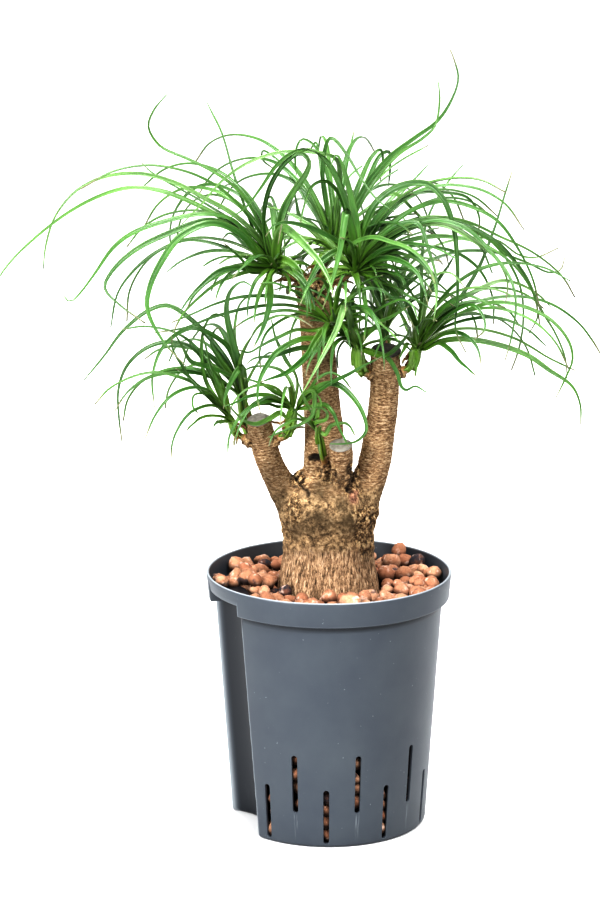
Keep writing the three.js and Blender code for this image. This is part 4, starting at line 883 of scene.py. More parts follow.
def cap_disc(limb, seed, rings=14, columns=56):
    """A dome: radius follows a quarter circle, height a flat crown, edge and top uneven by noise."""
    centre, along, radius = (values[-1] for values in limb_stations(limb, len(limb)))
    side, front = cross_axes(along)
    turn = np.linspace(0, 2 * np.pi, columns, endpoint=False)
    edge = radius * (1 + 0.03 * rough(np.stack([2 * np.cos(turn), 2 * np.sin(turn), turn * 0], -1), seed, 2))
    stations = []
    for share in np.linspace(0.02, 1, rings):
        lift = CAP_THICKNESS * (1 - share ** 5) + 0.15
        stations.append((share, lift))
    stations += [(1.0, 0.05), (0.97, -0.25), (0.5, -0.3), (0.02, -0.3)]
    rows = []
    for share, lift in stations:
        spot = np.stack([share * np.cos(turn), share * np.sin(turn), turn * 0], -1)
        bumpy = lift + (0.28 * rough(spot * 2.5, seed + 3, 3) if lift > 0.1 else 0)
        rows.append(centre + along * (CAP_GAP - 0.1 + np.broadcast_to(bumpy, turn.shape)[:, None])
                    + (share * edge)[:, None] * (side * np.cos(turn)[:, None] + front * np.sin(turn)[:, None]))
    return tube(np.stack(rows))


for seed, (name, (dull, pale)) in enumerate(WAX_TONES.items()):
    wax = blank_material(f"dull grafting wax {name}")
    where = add_node(wax, "TexCoord").outputs["Object"]
    smear = add_node(wax, "TexNoise", {"Vector": where, "Scale": 260, "Detail": 5, "Roughness": 0.6})
    tint = add_node(wax, "ValToRGB", {0: smear.outputs[0]}, stops=[(0.36, dull), (0.62, pale)])
    drag = add_node(wax, "TexNoise", {"Vector": where, "Scale": 600, "Detail": 3})
    relief = add_node(wax, "Bump", {"Height": drag.outputs[0], "Strength": 0.4, "Distance": 0.0005})
    new_material(wax.name, tint.outputs[0], 0.55, relief.outputs[0])
    cap = make_piece(f"wax_{name}", *cap_disc(LIMBS[name], 60 + seed), sharp=60)
    settle(cap, "wound_wax", wax, f"wax_cap_{name}")

# %% [markdown]
# Expanded clay is fired in a kiln, where each granule swells to a round pebble with a
# rough terracotta skin. The pebbles are first scattered as balls, and then the same
# few rules run again and again: balls that overlap push each other apart, the wall
# and the trunk push them back, and their weight pulls them down. What settles is a
# natural packing.

# %% Settle the pebbles
BED_LEVEL = 158
TOP_LEVEL = 186.5
PEBBLES = 400
PEBBLE_SIZES = (3.4, 7.0)
TWINS = 110
TWIN_SIZE = (0.6, 0.85)
SETTLING = 110


def pebble_bounds(places, sizes):
    """Moves balls back between the trunk and the pot's inside."""
    turn = np.arctan2(places[:, 1], places[:, 0])
    reach = np.hypot(places[:, 0], places[:, 1])
    offset = (np.degrees(turn) - GAUGE_AZIMUTH + 540) % 360 - 180
    height = np.clip(places[:, 2], 0, SHOULDER_HEIGHT)
    ledge = np.where((offset >= NOTCH[0]) & (offset <= NOTCH[1]), NOTCH_HEIGHT, SHOULDER_HEIGHT) + WALL
    outer = fluted(wall_radius(height) - WALL, height, offset, WALL)
    outer = np.where(places[:, 2] - 0.4 * sizes > ledge, RIM_RADIUS - RIM_DRAFT - WALL - 0.4, outer) - sizes
    trunk_height = np.clip(places[:, 2], TRUNK_FOOT, 190)
    inner = caudex_radius(trunk_height, turn) * np.where(np.abs(np.sin(turn)) > 0.5, 0.95, 1) + 0.92 * sizes
    reach = np.clip(reach, np.minimum(inner, outer), outer)
    return np.stack([reach * np.cos(turn), reach * np.sin(turn), places[:, 2]], -1)


def bed_height(places, sizes):
    """The lowest middle that a ball may have: on the filling, or on the ledge over the flute."""
    turn = np.degrees(np.arctan2(places[:, 1], places[:, 0]))
    offset = (turn - GAUGE_AZIMUTH + 540) % 360 - 180
    over = np.hypot(places[:, 0], places[:, 1]) > fluted(wall_radius(SHOULDER_HEIGHT), SHOULDER_HEIGHT, offset, 0)
    return np.where(over, SHOULDER_HEIGHT + WALL + 0.9 * sizes, BED_LEVEL + 0.6 * sizes)


def settle_pebbles(count, seed):
    """Balls that repel, fall and stay inside, after some rounds; returns middles and radii."""
    chance = np.random.default_rng(seed)
    sizes = between(*PEBBLE_SIZES, chance.random(count) ** 1.1)
    turn = chance.random(count) * 2 * np.pi
    reach = np.sqrt(between(45 ** 2, 82 ** 2, chance.random(count)))
    places = np.stack([reach * np.cos(turn), reach * np.sin(turn), between(160, 196, chance.random(count))], -1)
    for _ in range(SETTLING):
        apart = places[:, None] - places[None]
        distance = np.linalg.norm(apart, axis=-1) + np.eye(count)
        overlap = np.clip((sizes[:, None] + sizes[None]) * 0.97 - distance, 0, None) * (1 - np.eye(count))
        places = places + 0.32 * (apart / distance[..., None] * overlap[..., None]).sum(1)
        places[:, 2] -= 0.35
        places[:, 2] = np.maximum(places[:, 2], bed_height(places, sizes))
        places = pebble_bounds(places, sizes)
    return places, sizes


middles, sizes = settle_pebbles(PEBBLES, 5)
tops = middles[:, 2] + sizes
middles[:, 2] += TOP_LEVEL - np.quantile(tops, 0.93)
middles[:, 2] += 2 * smooth_step(10, 70, -middles[:, 1]) - 3 * smooth_step(0, 60, -middles[:, 0]) * (middles[:, 1] > 0)
chance = np.random.default_rng(6)
chosen = chance.choice(PEBBLES, TWINS, replace=False)
aside = chance.normal(size=(TWINS, 3)) * [1, 1, 0.4]
aside /= np.linalg.norm(aside, axis=-1, keepdims=True)
twin_sizes = sizes[chosen] * between(*TWIN_SIZE, chance.random(TWINS))
twins = pebble_bounds(middles[chosen] + aside * (0.75 * sizes[chosen])[:, None], twin_sizes)
middles, sizes = np.concatenate([middles, twins]), np.concatenate([sizes, twin_sizes])
print(f"{len(sizes)} pebbles, tops reach {np.max(middles[:, 2] + sizes):.0f} mm")

# %% Pebbles behind the slots
def slot_pebbles(seed):
    """A loose column of balls against the inside of the wall behind every slot."""
    chance = np.random.default_rng(seed)
    found = []
    for slot in range(SLOT_COUNT):
        azimuth = math.radians(SLOT_FIRST + SLOT_PITCH * slot)
        foot, length = SLOT_ROWS[slot % 2]
        height = foot + 1
        while height < foot + length + 3:
            size = between(3.2, 6.2, chance.random())
            height += size * 0.95
            inward = -0.5 + 2.6 * chance.random() ** 2
            radius = wall_radius(height) - WALL - size - inward
            aside = azimuth + (chance.random() - 0.5) * 0.045
            found.append([radius * math.cos(aside), radius * math.sin(aside), max(height, 3.6 + size), size])
            height += size * between(0.75, 1.35, chance.random())
    found = np.array(found)
    return found[:, :3], found[:, 3]


slot_middles, slot_sizes = slot_pebbles(9)
print(len(slot_sizes), "pebbles behind the slots")

# %% [markdown]
# A pebble's shape starts as an icosphere. Noise pushes its points in and out, a few
# pebbles are stretched, and every one is turned its own way. All pebbles are computed
# together as one array and joined in one mesh, with a random number for each pebble
# stored on its points, so that one material can fire them in different tones.

# %% Pebble shapes
def icosphere(subdivisions):
    ball = bmesh.new()
    bmesh.ops.create_icosphere(ball, subdivisions=subdivisions, radius=1)
    points = np.array([vertex.co for vertex in ball.verts])
    faces = np.array([[vertex.index for vertex in face.verts] for face in ball.faces])
    ball.free()
    return points, faces


def turns(chance, count):
    """Random rotation matrices, from unit quaternions."""
    w, x, y, z = (chance.normal(size=(count, 4)) / 1).T
    size = np.sqrt(w * w + x * x + y * y + z * z)
    w, x, y, z = w / size, x / size, y / size, z / size
    return np.stack([
        np.stack([1 - 2 * (y * y + z * z), 2 * (x * y - w * z), 2 * (x * z + w * y)], -1),
        np.stack([2 * (x * y + w * z), 1 - 2 * (x * x + z * z), 2 * (y * z - w * x)], -1),
        np.stack([2 * (x * z - w * y), 2 * (y * z + w * x), 1 - 2 * (x * x + y * y)], -1)], -2)


def pebble_mesh(middles, sizes, subdivisions, seed):
    """Every pebble's points: a noisy stretched ball, turned, scaled and set in place."""
    chance = np.random.default_rng(seed)
    ball, faces = icosphere(subdivisions)
    count = len(sizes)
    stretch = 1 + np.stack([0.26 * chance.random(count), -0.2 * chance.random(count), 0 * sizes], -1)
    lumpy = chance.random(count) ** 1.3
    spots = ball[None] * 1.25 + chance.random((count, 1, 3)) * 90
    swell = 1 + (0.12 + 0.3 * lumpy)[:, None] * rough(spots, seed, 3)
    shape = ball[None] * swell[..., None] * stretch[:, None] * sizes[:, None, None]
    points = np.einsum("nij,nkj->nki", turns(chance, count), shape) + middles[:, None]
    joined = (faces[None] + (np.arange(count) * len(ball))[:, None, None]).reshape(-1, 3)
    return points.reshape(-1, 3), joined.tolist(), np.repeat(chance.random(count), len(ball))


pebble_parts = {
    "clay_pebbles": pebble_mesh(middles, sizes, 2, 70),
    "clay_slot_pebbles": pebble_mesh(slot_middles, slot_sizes, 2, 71),
}

# %% The dark filling under the pebbles
def filling_rings(columns=120):
    """The pot's inside, a little short of the wall, up to just under the pebbles."""
    offset = np.linspace(-180, 180, columns, endpoint=False)
    rows = []
    for height, inset in ((3.8, 40), (3.8, 12), (30, 12), (90, 10), (150, 7), (166, 5), (170, 8), (171, 30)):
        radius = fluted(wall_radius(height) - WALL - inset, height, offset, WALL + inset)
        rows.append(about_pot(radius, offset, height + 0 * offset))
    return tube(np.stack(rows))


# The filling stands for the deeper pebbles, and its finish is painted shade: the clay mixed most of the way to near
# black
filling = make_piece("clay_filling", *filling_rings())

# %% [markdown]
# Fired clay is matt and porous. Its tone runs from salmon to brick red, a few pebbles
# came out of the kiln nearly black, and others carry pale patches of mineral salt
# from the nutrient water.

# %% Fired expanded clay
def clay_finish(name, darker):
    """Terracotta by a random tone for each pebble, with salt, soot, pores and grit, painted shade on the faces turned
    down, and painted shade over all by darker.
    """
    clay = blank_material(name)
    where = add_node(clay, "TexCoord").outputs["Object"]
    tone = add_node(clay, "Attribute", attribute_name="pebble_tone")
    fired = add_node(clay, "ValToRGB", {0: tone.outputs["Fac"]}, stops=[
        (0.0, "#3f3d44"), (1.0, "#b98f74"), (0.05, "#47444b"), (0.06, "#ad8168"), (0.4, "#c2967b"), (0.75, "#d6b398")])
    patch = add_node(clay, "TexNoise", {"Vector": where, "Scale": 210, "Detail": 5, "Roughness": 0.7})
    worn = add_node(clay, "MapRange", {0: patch.outputs[0], 1: 0.45, 2: 0.62, 3: 0, 4: 0.55})
    mottled = add_node(clay, "Mix", {0: worn.outputs[0], 6: fired.outputs[0], 7: linear("#a5755b")}, data_type="RGBA")
    salt = add_node(clay, "TexNoise", {"Vector": where, "Scale": 190, "Detail": 4, "W": 2.0}, noise_dimensions="4D")
    crust = add_node(clay, "MapRange", {0: salt.outputs[0], 1: 0.56, 2: 0.64, 3: 0, 4: 0.65})
    salted = add_node(clay, "Mix", {0: crust.outputs[0], 6: mottled.outputs[2], 7: linear("#eed6c8")}, data_type="RGBA")
    soot = add_node(clay, "TexNoise", {"Vector": where, "Scale": 95, "Detail": 5, "W": 7.0}, noise_dimensions="4D")
    sooty = add_node(clay, "MapRange", {0: soot.outputs[0], 1: 0.61, 2: 0.66, 3: 0, 4: 0.85})
    marked = add_node(clay, "Mix", {0: sooty.outputs[0], 6: salted.outputs[2], 7: linear("#4c4850")}, data_type="RGBA")
    shards = add_node(clay, "TexVoronoi", {"Vector": where, "Scale": 190}, feature="DISTANCE_TO_EDGE")
    split = add_node(clay, "MapRange", {0: shards.outputs["Distance"], 1: 0.06, 2: 0.0, 3: 0, 4: 0.6})
    cracked = add_node(clay, "Math", {0: split.outputs[0], 1: worn.outputs[0]}, operation="MULTIPLY")
    veined = add_node(clay, "Mix", {0: cracked.outputs[0], 6: marked.outputs[2], 7: linear("#5d3728")},
                      data_type="RGBA")
    # Painted shade: the faces that turn down are mixed towards a dark brown
    turned = add_node(clay, "SeparateXYZ", {0: add_node(clay, "NewGeometry").outputs["Normal"]})
    lower = add_node(clay, "MapRange", {0: turned.outputs[2], 1: 0.35, 2: -0.35, 3: 0, 4: 0.85})
    painted_underside_shade = add_node(clay, "Mix", {0: lower.outputs[0], 6: veined.outputs[2], 7: linear("#35231b")}, data_type="RGBA")
    shade = add_node(clay, "Mix", {0: darker, 6: painted_underside_shade.outputs[2], 7: linear("#1a1210")}, data_type="RGBA")
    pores = add_node(clay, "TexNoise", {"Vector": where, "Scale": 620, "Detail": 5, "Roughness": 0.75})
    relief = add_node(clay, "Bump", {"Height": pores.outputs[0], "Strength": 0.8, "Distance": 0.001})
    return new_material(name, shade.outputs[2], 0.92, relief.outputs[0])


fired_clay = clay_finish("fired expanded clay", 0.0)
painted_shade_clay = clay_finish("clay in painted shade", 0.8)
for name, (points, faces, tones) in pebble_parts.items():
    piece = make_piece(name, points, faces, sharp=180)
    give(piece, "pebble_tone", tones)
    settle(piece, "fired_clay", fired_clay, "clay_granules")
settle(filling, "fired_clay", painted_shade_clay, "clay_granules")

# %% [markdown]
# A ponytail palm's leaf is a long strap, folded into a shallow channel, that rises
# from its head, arches over under its own weight and thins to a dry thread. Each
# leaf's middle line was read off the front view as a few points, across and up on
# the plane through the pot's axis. A leaf also has a depth, so its points are pushed
# along the sight line, which leaves the front view as it is.

# %% Heads and their leaves
# Each shoot: its foot on the limb [x, y, z], the way it leaves the limb, its heart
# [across, up, depth], its stem's radius, its leaves, and how many more leaves a rule
# adds, with their azimuths round it and their lengths. A leaf is
# [width, face, depth of its tip, [[across, up], ...]]; face turns the blade about
# its own line.
SHOOTS = [
  {
    "name": "crown_left",
    "foot": [-17.5, 1, 406], "leave": [-0.6, -0.1, 0.8], "heart": [-38, 415, -10], "stem": 4.5, "fill": 9,
    "around": [70, 200], "reach": [120, 190],
    "leaves": [
      [5.5, 20, -15, [[-47, 440], [-58, 462], [-72, 477], [-100, 494], [-121, 504], [-129, 517],
        [-125, 529], [-116, 540]]],
      [3.5, 20, 45, [[-52, 438], [-60, 458], [-69, 485], [-77, 512], [-87, 534]]],
      [3.5, 30, 65, [[-50, 434], [-72, 451], [-92, 464], [-112, 475], [-128, 485], [-134, 491]]],
      [5, 25, 15, [[-50, 436], [-70, 455], [-90, 466], [-110, 476], [-135, 483], [-160, 481], [-182, 470],
        [-197, 452], [-204, 430], [-206, 414]]],
      [6.5, 15, -30, [[-50, 430], [-70, 447], [-95, 461], [-120, 471], [-142, 473], [-165, 467],
        [-190, 454], [-218, 431], [-236, 411], [-243, 398]]],
      [7, 25, -65, [[-52, 430], [-68, 449], [-85, 454], [-115, 450], [-140, 441], [-155, 429],
        [-170, 409], [-181, 395], [-187, 390], [-191, 394]]],
      [7, 25, -90, [[-50, 426], [-66, 441], [-85, 450], [-115, 440], [-142, 426], [-158, 410],
        [-162, 400], [-152, 388], [-133, 374]]],
      [8, 50, -125, [[-50, 424], [-64, 440], [-85, 448], [-106, 439], [-122, 419], [-130, 400],
        [-131, 385], [-120, 361], [-104, 343]]],
      [5, 20, 30, [[-50, 418], [-68, 427], [-85, 433], [-104, 435], [-125, 426], [-143, 410], [-153, 395],
        [-158, 371]]],
      [7, 35, -80, [[-50, 414], [-66, 415], [-80, 412], [-92, 402], [-102, 391], [-109, 381]]],
      [5, 20, 85, [[-46, 440], [-56, 460], [-70, 472], [-86, 476], [-99, 472], [-110, 458], [-115, 440],
        [-114, 428]]],
      [6, 30, -50, [[-44, 425], [-47, 450], [-43, 473], [-33, 490], [-21, 498], [-15, 492], [-18, 480],
        [-28, 465], [-34, 448], [-37, 432]]],
      [7, 40, -100, [[-43, 410], [-43, 395], [-45, 380], [-50, 366], [-55, 356]]],
      [6, 60, 60, [[-36, 436], [-38, 455], [-42, 467], [-48, 462]]],
      [5, 40, 45, [[-52, 424], [-62, 434], [-72, 440], [-77, 436]]],
      [4, 40, -55, [[-56, 412], [-62, 420], [-70, 428], [-76, 433]]],
    ],
  },
  {
    "name": "crown_right",
    "foot": [-6, -2, 406], "leave": [0.6, -0.2, 0.8], "heart": [18, 412, -8], "stem": 5, "fill": 10,
    "around": [-40, 90], "reach": [120, 180],
    "leaves": [
      [6.5, 20, -40, [[18, 440], [10, 468], [-2, 492], [-14, 500], [-26, 498], [-38, 489], [-50, 472],
        [-60, 459], [-72, 451]]],
      [7, 50, -65, [[10, 430], [-6, 441], [-28, 448], [-40, 446], [-46, 438]]],
      [8, 75, -90, [[17, 436], [12, 456], [9, 440], [6, 420], [1, 402], [-5, 385]]],
      [7.5, 60, -110, [[6, 412], [-6, 418], [-18, 432], [-30, 446], [-36, 440]]],
      [8, 60, -25, [[20, 440], [15, 470], [9, 490], [5, 497], [0, 488]]],
      [7, 30, -50, [[22, 436], [33, 462], [50, 475], [68, 477], [80, 467], [88, 447], [92, 420],
        [92, 390], [91, 370], [99, 353]]],
      [7, 20, 15, [[24, 434], [36, 455], [60, 469], [85, 470], [99, 466], [107, 452], [106, 437]]],
      [5, 25, -25, [[28, 430], [48, 450], [65, 460], [82, 464], [100, 461], [120, 450], [135, 430],
        [146, 408], [152, 384]]],
      [7.5, 25, -60, [[28, 426], [45, 440], [62, 447], [85, 446], [105, 435], [120, 422], [128, 405],
        [127, 390]]],
      [5, 30, -80, [[28, 424], [48, 440], [75, 450], [100, 443], [118, 425], [130, 407], [134, 388],
        [131, 362], [127, 347]]],
      [4.5, 30, 35, [[30, 430], [55, 447], [85, 451], [110, 440], [128, 420], [138, 398], [140, 375],
        [137, 355], [132, 340]]],
      [4.5, 20, 70, [[30, 432], [60, 450], [95, 450], [125, 437], [150, 424], [168, 409], [177, 394]]],
      [4.5, 30, -15, [[28, 428], [55, 448], [90, 449], [118, 436], [135, 418], [146, 398], [150, 380],
        [144, 367]]],
      [5, 30, 55, [[30, 426], [65, 446], [100, 443], [125, 428], [140, 410], [152, 385], [164, 366],
        [171, 348], [172, 334]]],
      [6.5, 30, -85, [[26, 416], [36, 422], [52, 420], [62, 412], [68, 400], [71, 388]]],
      [6, 30, -105, [[24, 418], [36, 428], [50, 431], [62, 423], [72, 412], [76, 404]]],
      [5, 30, -70, [[26, 420], [45, 432], [65, 433], [80, 428], [91, 422]]],
      [5.5, 35, -120, [[14, 430], [30, 438], [45, 434], [60, 427], [73, 413], [77, 395], [75, 376]]],
      [5, 30, -80, [[22, 404], [26, 392], [27, 378], [25, 362]]],
      [5, 30, -65, [[28, 430], [50, 447], [64, 447], [71, 428], [77, 405], [76, 380]]],
      [6, 30, 30, [[24, 440], [36, 466], [46, 469], [60, 457], [72, 445], [82, 430], [86, 415]]],
    ],
  },
  {
    "name": "crown_back",
    "foot": [-11, 6, 406], "leave": [0.2, 0.5, 0.8], "heart": [2, 428, 16], "stem": 4.5, "fill": 10,
    "around": [20, 160], "reach": [120, 190],
    "leaves": [
      [6.5, 15, 90, [[3, 455], [0, 482], [-3, 507], [-6, 511], [-8, 498]]],
      [5, 70, 60, [[0, 450], [-5, 478], [-10, 506], [-15, 498]]],
      [4.5, 30, -35, [[-2, 455], [-5, 485], [0, 509], [12, 497], [22, 481], [34, 465], [46, 456]]],
      [5.5, 30, 35, [[12, 450], [26, 475], [42, 495], [60, 509], [75, 520], [85, 534], [91, 552],
        [88, 565], [85, 572]]],
      [5, 35, 10, [[14, 448], [30, 475], [48, 497], [66, 509], [75, 518], [78, 535], [77, 549]]],
      [6, 60, 75, [[12, 452], [22, 478], [30, 496], [36, 501], [38, 490], [36, 478]]],
      [6, 55, 100, [[14, 452], [27, 478], [36, 497], [42, 499], [43, 488], [42, 474]]],
      [3.5, 30, 75, [[16, 450], [30, 474], [45, 489], [70, 504]]],
      [3, 30, 100, [[18, 444], [35, 452], [52, 470], [70, 490]]],
      [5, 20, -45, [[6, 450], [7, 478], [4, 494], [-15, 499], [-38, 498], [-60, 490], [-78, 477],
        [-92, 461], [-106, 447]]],
      [4, 40, 35, [[2, 460], [-4, 490], [-12, 504], [-20, 508], [-24, 500], [-24, 482]]],
      [4, 30, 115, [[-8, 450], [-22, 472], [-36, 492], [-48, 500], [-48, 494], [-40, 487]]],
      [5, 30, -75, [[12, 446], [8, 466], [-3, 478], [-13, 474], [-19, 458], [-21, 444]]],
      [6, 60, 50, [[-10, 440], [-20, 450], [-25, 468], [-27, 472]]],
    ],
  },
  {
    "name": "crown_low",
    "foot": [-3.8, -9.4, 366], "leave": [0.5, -0.8, 0.3], "heart": [3, 373, -20], "stem": 3.6, "fill": 5,
    "around": [180, 300], "reach": [80, 130],
    "leaves": [
      [5.5, 20, -35, [[-12, 380], [-30, 384], [-48, 382], [-60, 377], [-69, 371]]],
      [4.5, 20, -25, [[-12, 383], [-30, 388], [-55, 387], [-80, 380], [-105, 371], [-128, 367]]],
      [4.5, 20, -15, [[-15, 388], [-35, 394], [-60, 394], [-82, 389], [-100, 381], [-114, 375]]],
      [5.5, 20, -55, [[-10, 369], [-24, 369], [-38, 364], [-50, 357], [-58, 353], [-66, 355]]],
      [7, 45, -90, [[-8, 364], [-20, 363], [-32, 358], [-42, 349], [-49, 337], [-52, 320], [-50, 308]]],
      [7.5, 50, -100, [[-4, 370], [-10, 362], [-16, 351], [-28, 340], [-44, 333], [-50, 331]]],
      [6, 50, -45, [[-8, 358], [-22, 356], [-40, 351], [-55, 348], [-60, 344]]],
      [5, 30, -45, [[8, 388], [18, 396], [30, 400], [42, 396], [54, 385], [62, 370]]],
      [4.5, 30, -80, [[14, 373], [28, 381], [42, 389], [52, 392], [60, 388], [64, 377]]],
      [4, 30, -100, [[10, 384], [22, 385], [30, 381], [40, 372], [50, 362]]],
      [5, 30, -40, [[-8, 384], [-22, 396], [-38, 404], [-50, 404]]],
    ],
  },
  {
    "name": "shoot_right_inner",
    "foot": [28.3, -11.3, 340], "leave": [-0.75, -0.45, 0.45], "heart": [21, 356, -18], "stem": 4, "fill": 4,
    "around": [150, 260], "reach": [70, 120],
    "leaves": [
      [8, 60, -90, [[16, 372], [12, 388], [6, 372], [-2, 356], [-10, 340], [-20, 322]]],
      [9, 70, -35, [[18, 370], [16, 386], [17, 399], [20, 404]]],
      [7, 70, -40, [[14, 368], [14, 380], [15, 388]]],
      [7, 60, -55, [[14, 362], [8, 370], [4, 378], [2, 386]]],
      [8, 50, -100, [[24, 364], [34, 373], [46, 380], [57, 387]]],
      [6, 45, -75, [[27, 354], [37, 351], [48, 356], [55, 364], [59, 372]]],
      [5, 40, -60, [[33, 353], [42, 350], [48, 340], [53, 327], [56, 325], [62, 328], [70, 324]]],
    ],
  },
  {
    "name": "shoot_right_outer",
    "foot": [53, -9.2, 341.5], "leave": [0.8, -0.2, 0.55], "heart": [63, 356, -12], "stem": 4.2, "fill": 7,
    "around": [-60, 70], "reach": [90, 150],
    "leaves": [
      [5, 20, 5, [[72, 370], [88, 384], [110, 392], [135, 395], [158, 390], [178, 377], [190, 362],
        [198, 349]]],
      [6, 25, -45, [[74, 368], [95, 382], [118, 390], [140, 387], [160, 378], [173, 362], [176, 348],
        [171, 334], [164, 319]]],
      [4.5, 20, 45, [[74, 364], [90, 370], [110, 370], [135, 363], [158, 350], [178, 340]]],
      [7, 30, -25, [[72, 359], [90, 363], [115, 361], [140, 353], [160, 340], [176, 328], [182, 315],
        [183, 300]]],
      [6, 30, -70, [[72, 360], [84, 367], [96, 367], [105, 360], [109, 350], [109, 343]]],
      [6, 40, -75, [[70, 356], [79, 360], [88, 354], [96, 345], [106, 336]]],
      [5, 30, -50, [[66, 372], [70, 395], [78, 411], [88, 411], [98, 400]]],
      [6, 40, 30, [[70, 372], [84, 388], [100, 396], [122, 406], [135, 404], [150, 396], [160, 386]]],
      [5.5, 30, -50, [[70, 368], [82, 386], [97, 395], [108, 392], [118, 387], [126, 387]]],
      [5.5, 35, -90, [[72, 366], [88, 382], [103, 388], [111, 379], [112, 370], [105, 363]]],
      [4.5, 20, 60, [[78, 376], [95, 395], [108, 416], [118, 442], [125, 468], [130, 485]]],
      [6.5, 60, 20, [[66, 376], [72, 396], [82, 412], [90, 425]]],
      [6.5, 50, -75, [[62, 372], [57, 388], [48, 394], [40, 392]]],
      [5, 50, -75, [[59, 364], [56, 374], [50, 372]]],
      [4, 30, -50, [[63, 348], [63, 342], [62, 335]]],
      [3.5, 20, 100, [[66, 390], [66, 420], [70, 450], [82, 474], [95, 490]]],
    ],
  },
  {
    "name": "shoot_right_back",
    "foot": [41, 8, 342], "leave": [0, 0.75, 0.6], "heart": [40, 370, 18], "stem": 4, "fill": 8,
    "around": [30, 150], "reach": [90, 150],
    "leaves": [
      [5, 25, 75, [[48, 395], [62, 414], [88, 426], [115, 427], [140, 420], [158, 412], [166, 414],
        [169, 424]]],
      [3.5, 20, 100, [[46, 400], [70, 428], [98, 437], [120, 436], [136, 425], [148, 423], [164, 430]]],
      [6, 70, 50, [[38, 392], [35, 410], [32, 425], [30, 436]]],
      [7, 70, 60, [[40, 395], [40, 415], [42, 430]]],
      [6, 50, 35, [[45, 390], [55, 402], [68, 411], [78, 410]]],
      [4, 40, 90, [[46, 392], [54, 412], [58, 432], [52, 455]]],
    ],
  },
  {
    "name": "shoot_left_outer",
    "foot": [-60.6, -14.5, 292.5], "leave": [-0.8, -0.1, 0.5], "heart": [-71, 303, -20], "stem": 3.6, "fill": 4,
    "around": [150, 250], "reach": [80, 130],
    "leaves": [
      [5.5, 30, -35, [[-83, 315], [-96, 328], [-106, 342], [-113, 355], [-114, 365]]],
      [5, 30, -60, [[-80, 312], [-92, 325], [-102, 335], [-111, 341]]],
      [5.5, 25, 20, [[-78, 318], [-86, 338], [-97, 355], [-115, 361], [-132, 357], [-146, 344],
        [-153, 325], [-153, 305], [-151, 286]]],
      [5, 30, -5, [[-80, 316], [-89, 332], [-92, 352], [-90, 372], [-83, 381], [-74, 378]]],
      [5.5, 40, -45, [[-76, 315], [-81, 330], [-87, 348], [-91, 364]]],
      [6, 40, -75, [[-76, 302], [-82, 301], [-84, 298]]],
      [3.5, 30, -55, [[-80, 314], [-90, 322], [-98, 321], [-99, 313], [-95, 307]]],
    ],
  },
  {
    "name": "shoot_left_back",
    "foot": [-54.4, -3.2, 290], "leave": [-0.45, 0.6, 0.6], "heart": [-63, 320, -4], "stem": 4, "fill": 6,
    "around": [90, 190], "reach": [90, 150],
    "leaves": [
      [8, 60, -25, [[-66, 345], [-72, 368], [-74, 388], [-70, 400], [-62, 405], [-54, 400]]],
      [8, 75, -40, [[-62, 334], [-63, 341], [-69, 335], [-75, 322], [-77, 311]]],
      [6, 25, 30, [[-70, 340], [-82, 358], [-100, 377], [-116, 387], [-130, 384], [-148, 370],
        [-163, 350], [-178, 332]]],
      [6, 30, -25, [[-68, 345], [-76, 360], [-98, 371], [-111, 366], [-122, 354], [-128, 335],
        [-127, 312]]],
      [6.5, 50, -55, [[-70, 335], [-85, 341], [-100, 347], [-106, 357], [-112, 367]]],
      [6.5, 60, -10, [[-70, 335], [-79, 348], [-85, 361], [-82, 370], [-77, 371]]],
      [6, 50, 30, [[-66, 342], [-73, 358], [-80, 372]]],
      [5, 30, -55, [[-65, 340], [-60, 358], [-50, 373], [-37, 380], [-24, 379], [-12, 372]]],
      [4, 30, 70, [[-67, 350], [-68, 370], [-65, 387], [-60, 393], [-50, 396]]],
    ],
  },
  {
    "name": "shoot_left_inner",
    "foot": [-36.4, -16.5, 293], "leave": [0.8, -0.3, 0.5], "heart": [-26, 311, -24], "stem": 3.6, "fill": 4,
    "around": [210, 330], "reach": [60, 100],
    "leaves": [
      [6, 45, -85, [[-14, 323], [-4, 329], [6, 329], [17, 320], [25, 307], [27, 295], [20, 287],
        [10, 285], [1, 285]]],
      [5, 45, -75, [[-18, 322], [-12, 324], [-10, 316], [-12, 306], [-20, 300], [-32, 295], [-44, 290]]],
      [5, 45, -60, [[-14, 312], [-4, 314], [3, 308], [7, 298], [14, 283]]],
      [6, 35, -60, [[-36, 318], [-48, 322], [-60, 320], [-70, 315], [-76, 313]]],
      [4.5, 30, -45, [[-36, 313], [-48, 314.5], [-59, 312]]],
      [5, 35, -30, [[-36, 322], [-48, 329], [-62, 334]]],
      [4, 35, -5, [[-27, 330], [-34, 339], [-46, 343], [-56, 342], [-63, 339]]],
      [6, 40, -95, [[-30, 305], [-36, 308], [-44, 303], [-52, 299.5], [-60, 301], [-67, 307],
        [-73, 314]]],
      [4.5, 40, -45, [[-14, 326], [-7, 335], [2, 338], [10, 334], [16, 326]]],
      [5.5, 40, -75, [[-14, 320], [0, 330], [15, 338], [30, 346], [38, 350]]],
      [6, 40, -30, [[-24, 330], [-30, 346], [-38, 362], [-42, 377]]],
    ],
  },
  {
    "name": "shoot_front",
    "foot": [-3.2, -15.2, 275], "leave": [-0.2, -0.6, 0.7], "heart": [-8, 294, -34], "stem": 3, "fill": 1,
    "around": [200, 260], "reach": [40, 60],
    "leaves": [
      [4.5, 40, -55, [[-3, 292], [1, 298], [8, 301], [15, 298], [19, 291]]],
      [5, 50, -40, [[-12, 308], [-18, 318], [-22, 330]]],
      [4.5, 50, -60, [[-12, 300], [-3, 303], [-2, 309], [-8, 312], [-14, 311]]],
      [5, 50, -35, [[-8, 308], [-6, 316], [-9, 322]]],
      [4.5, 40, -55, [[-14, 302], [-20, 305], [-26, 311]]],
    ],
  },
]
print(sum(len(shoot["leaves"]) for shoot in SHOOTS), "leaves read off the front view")

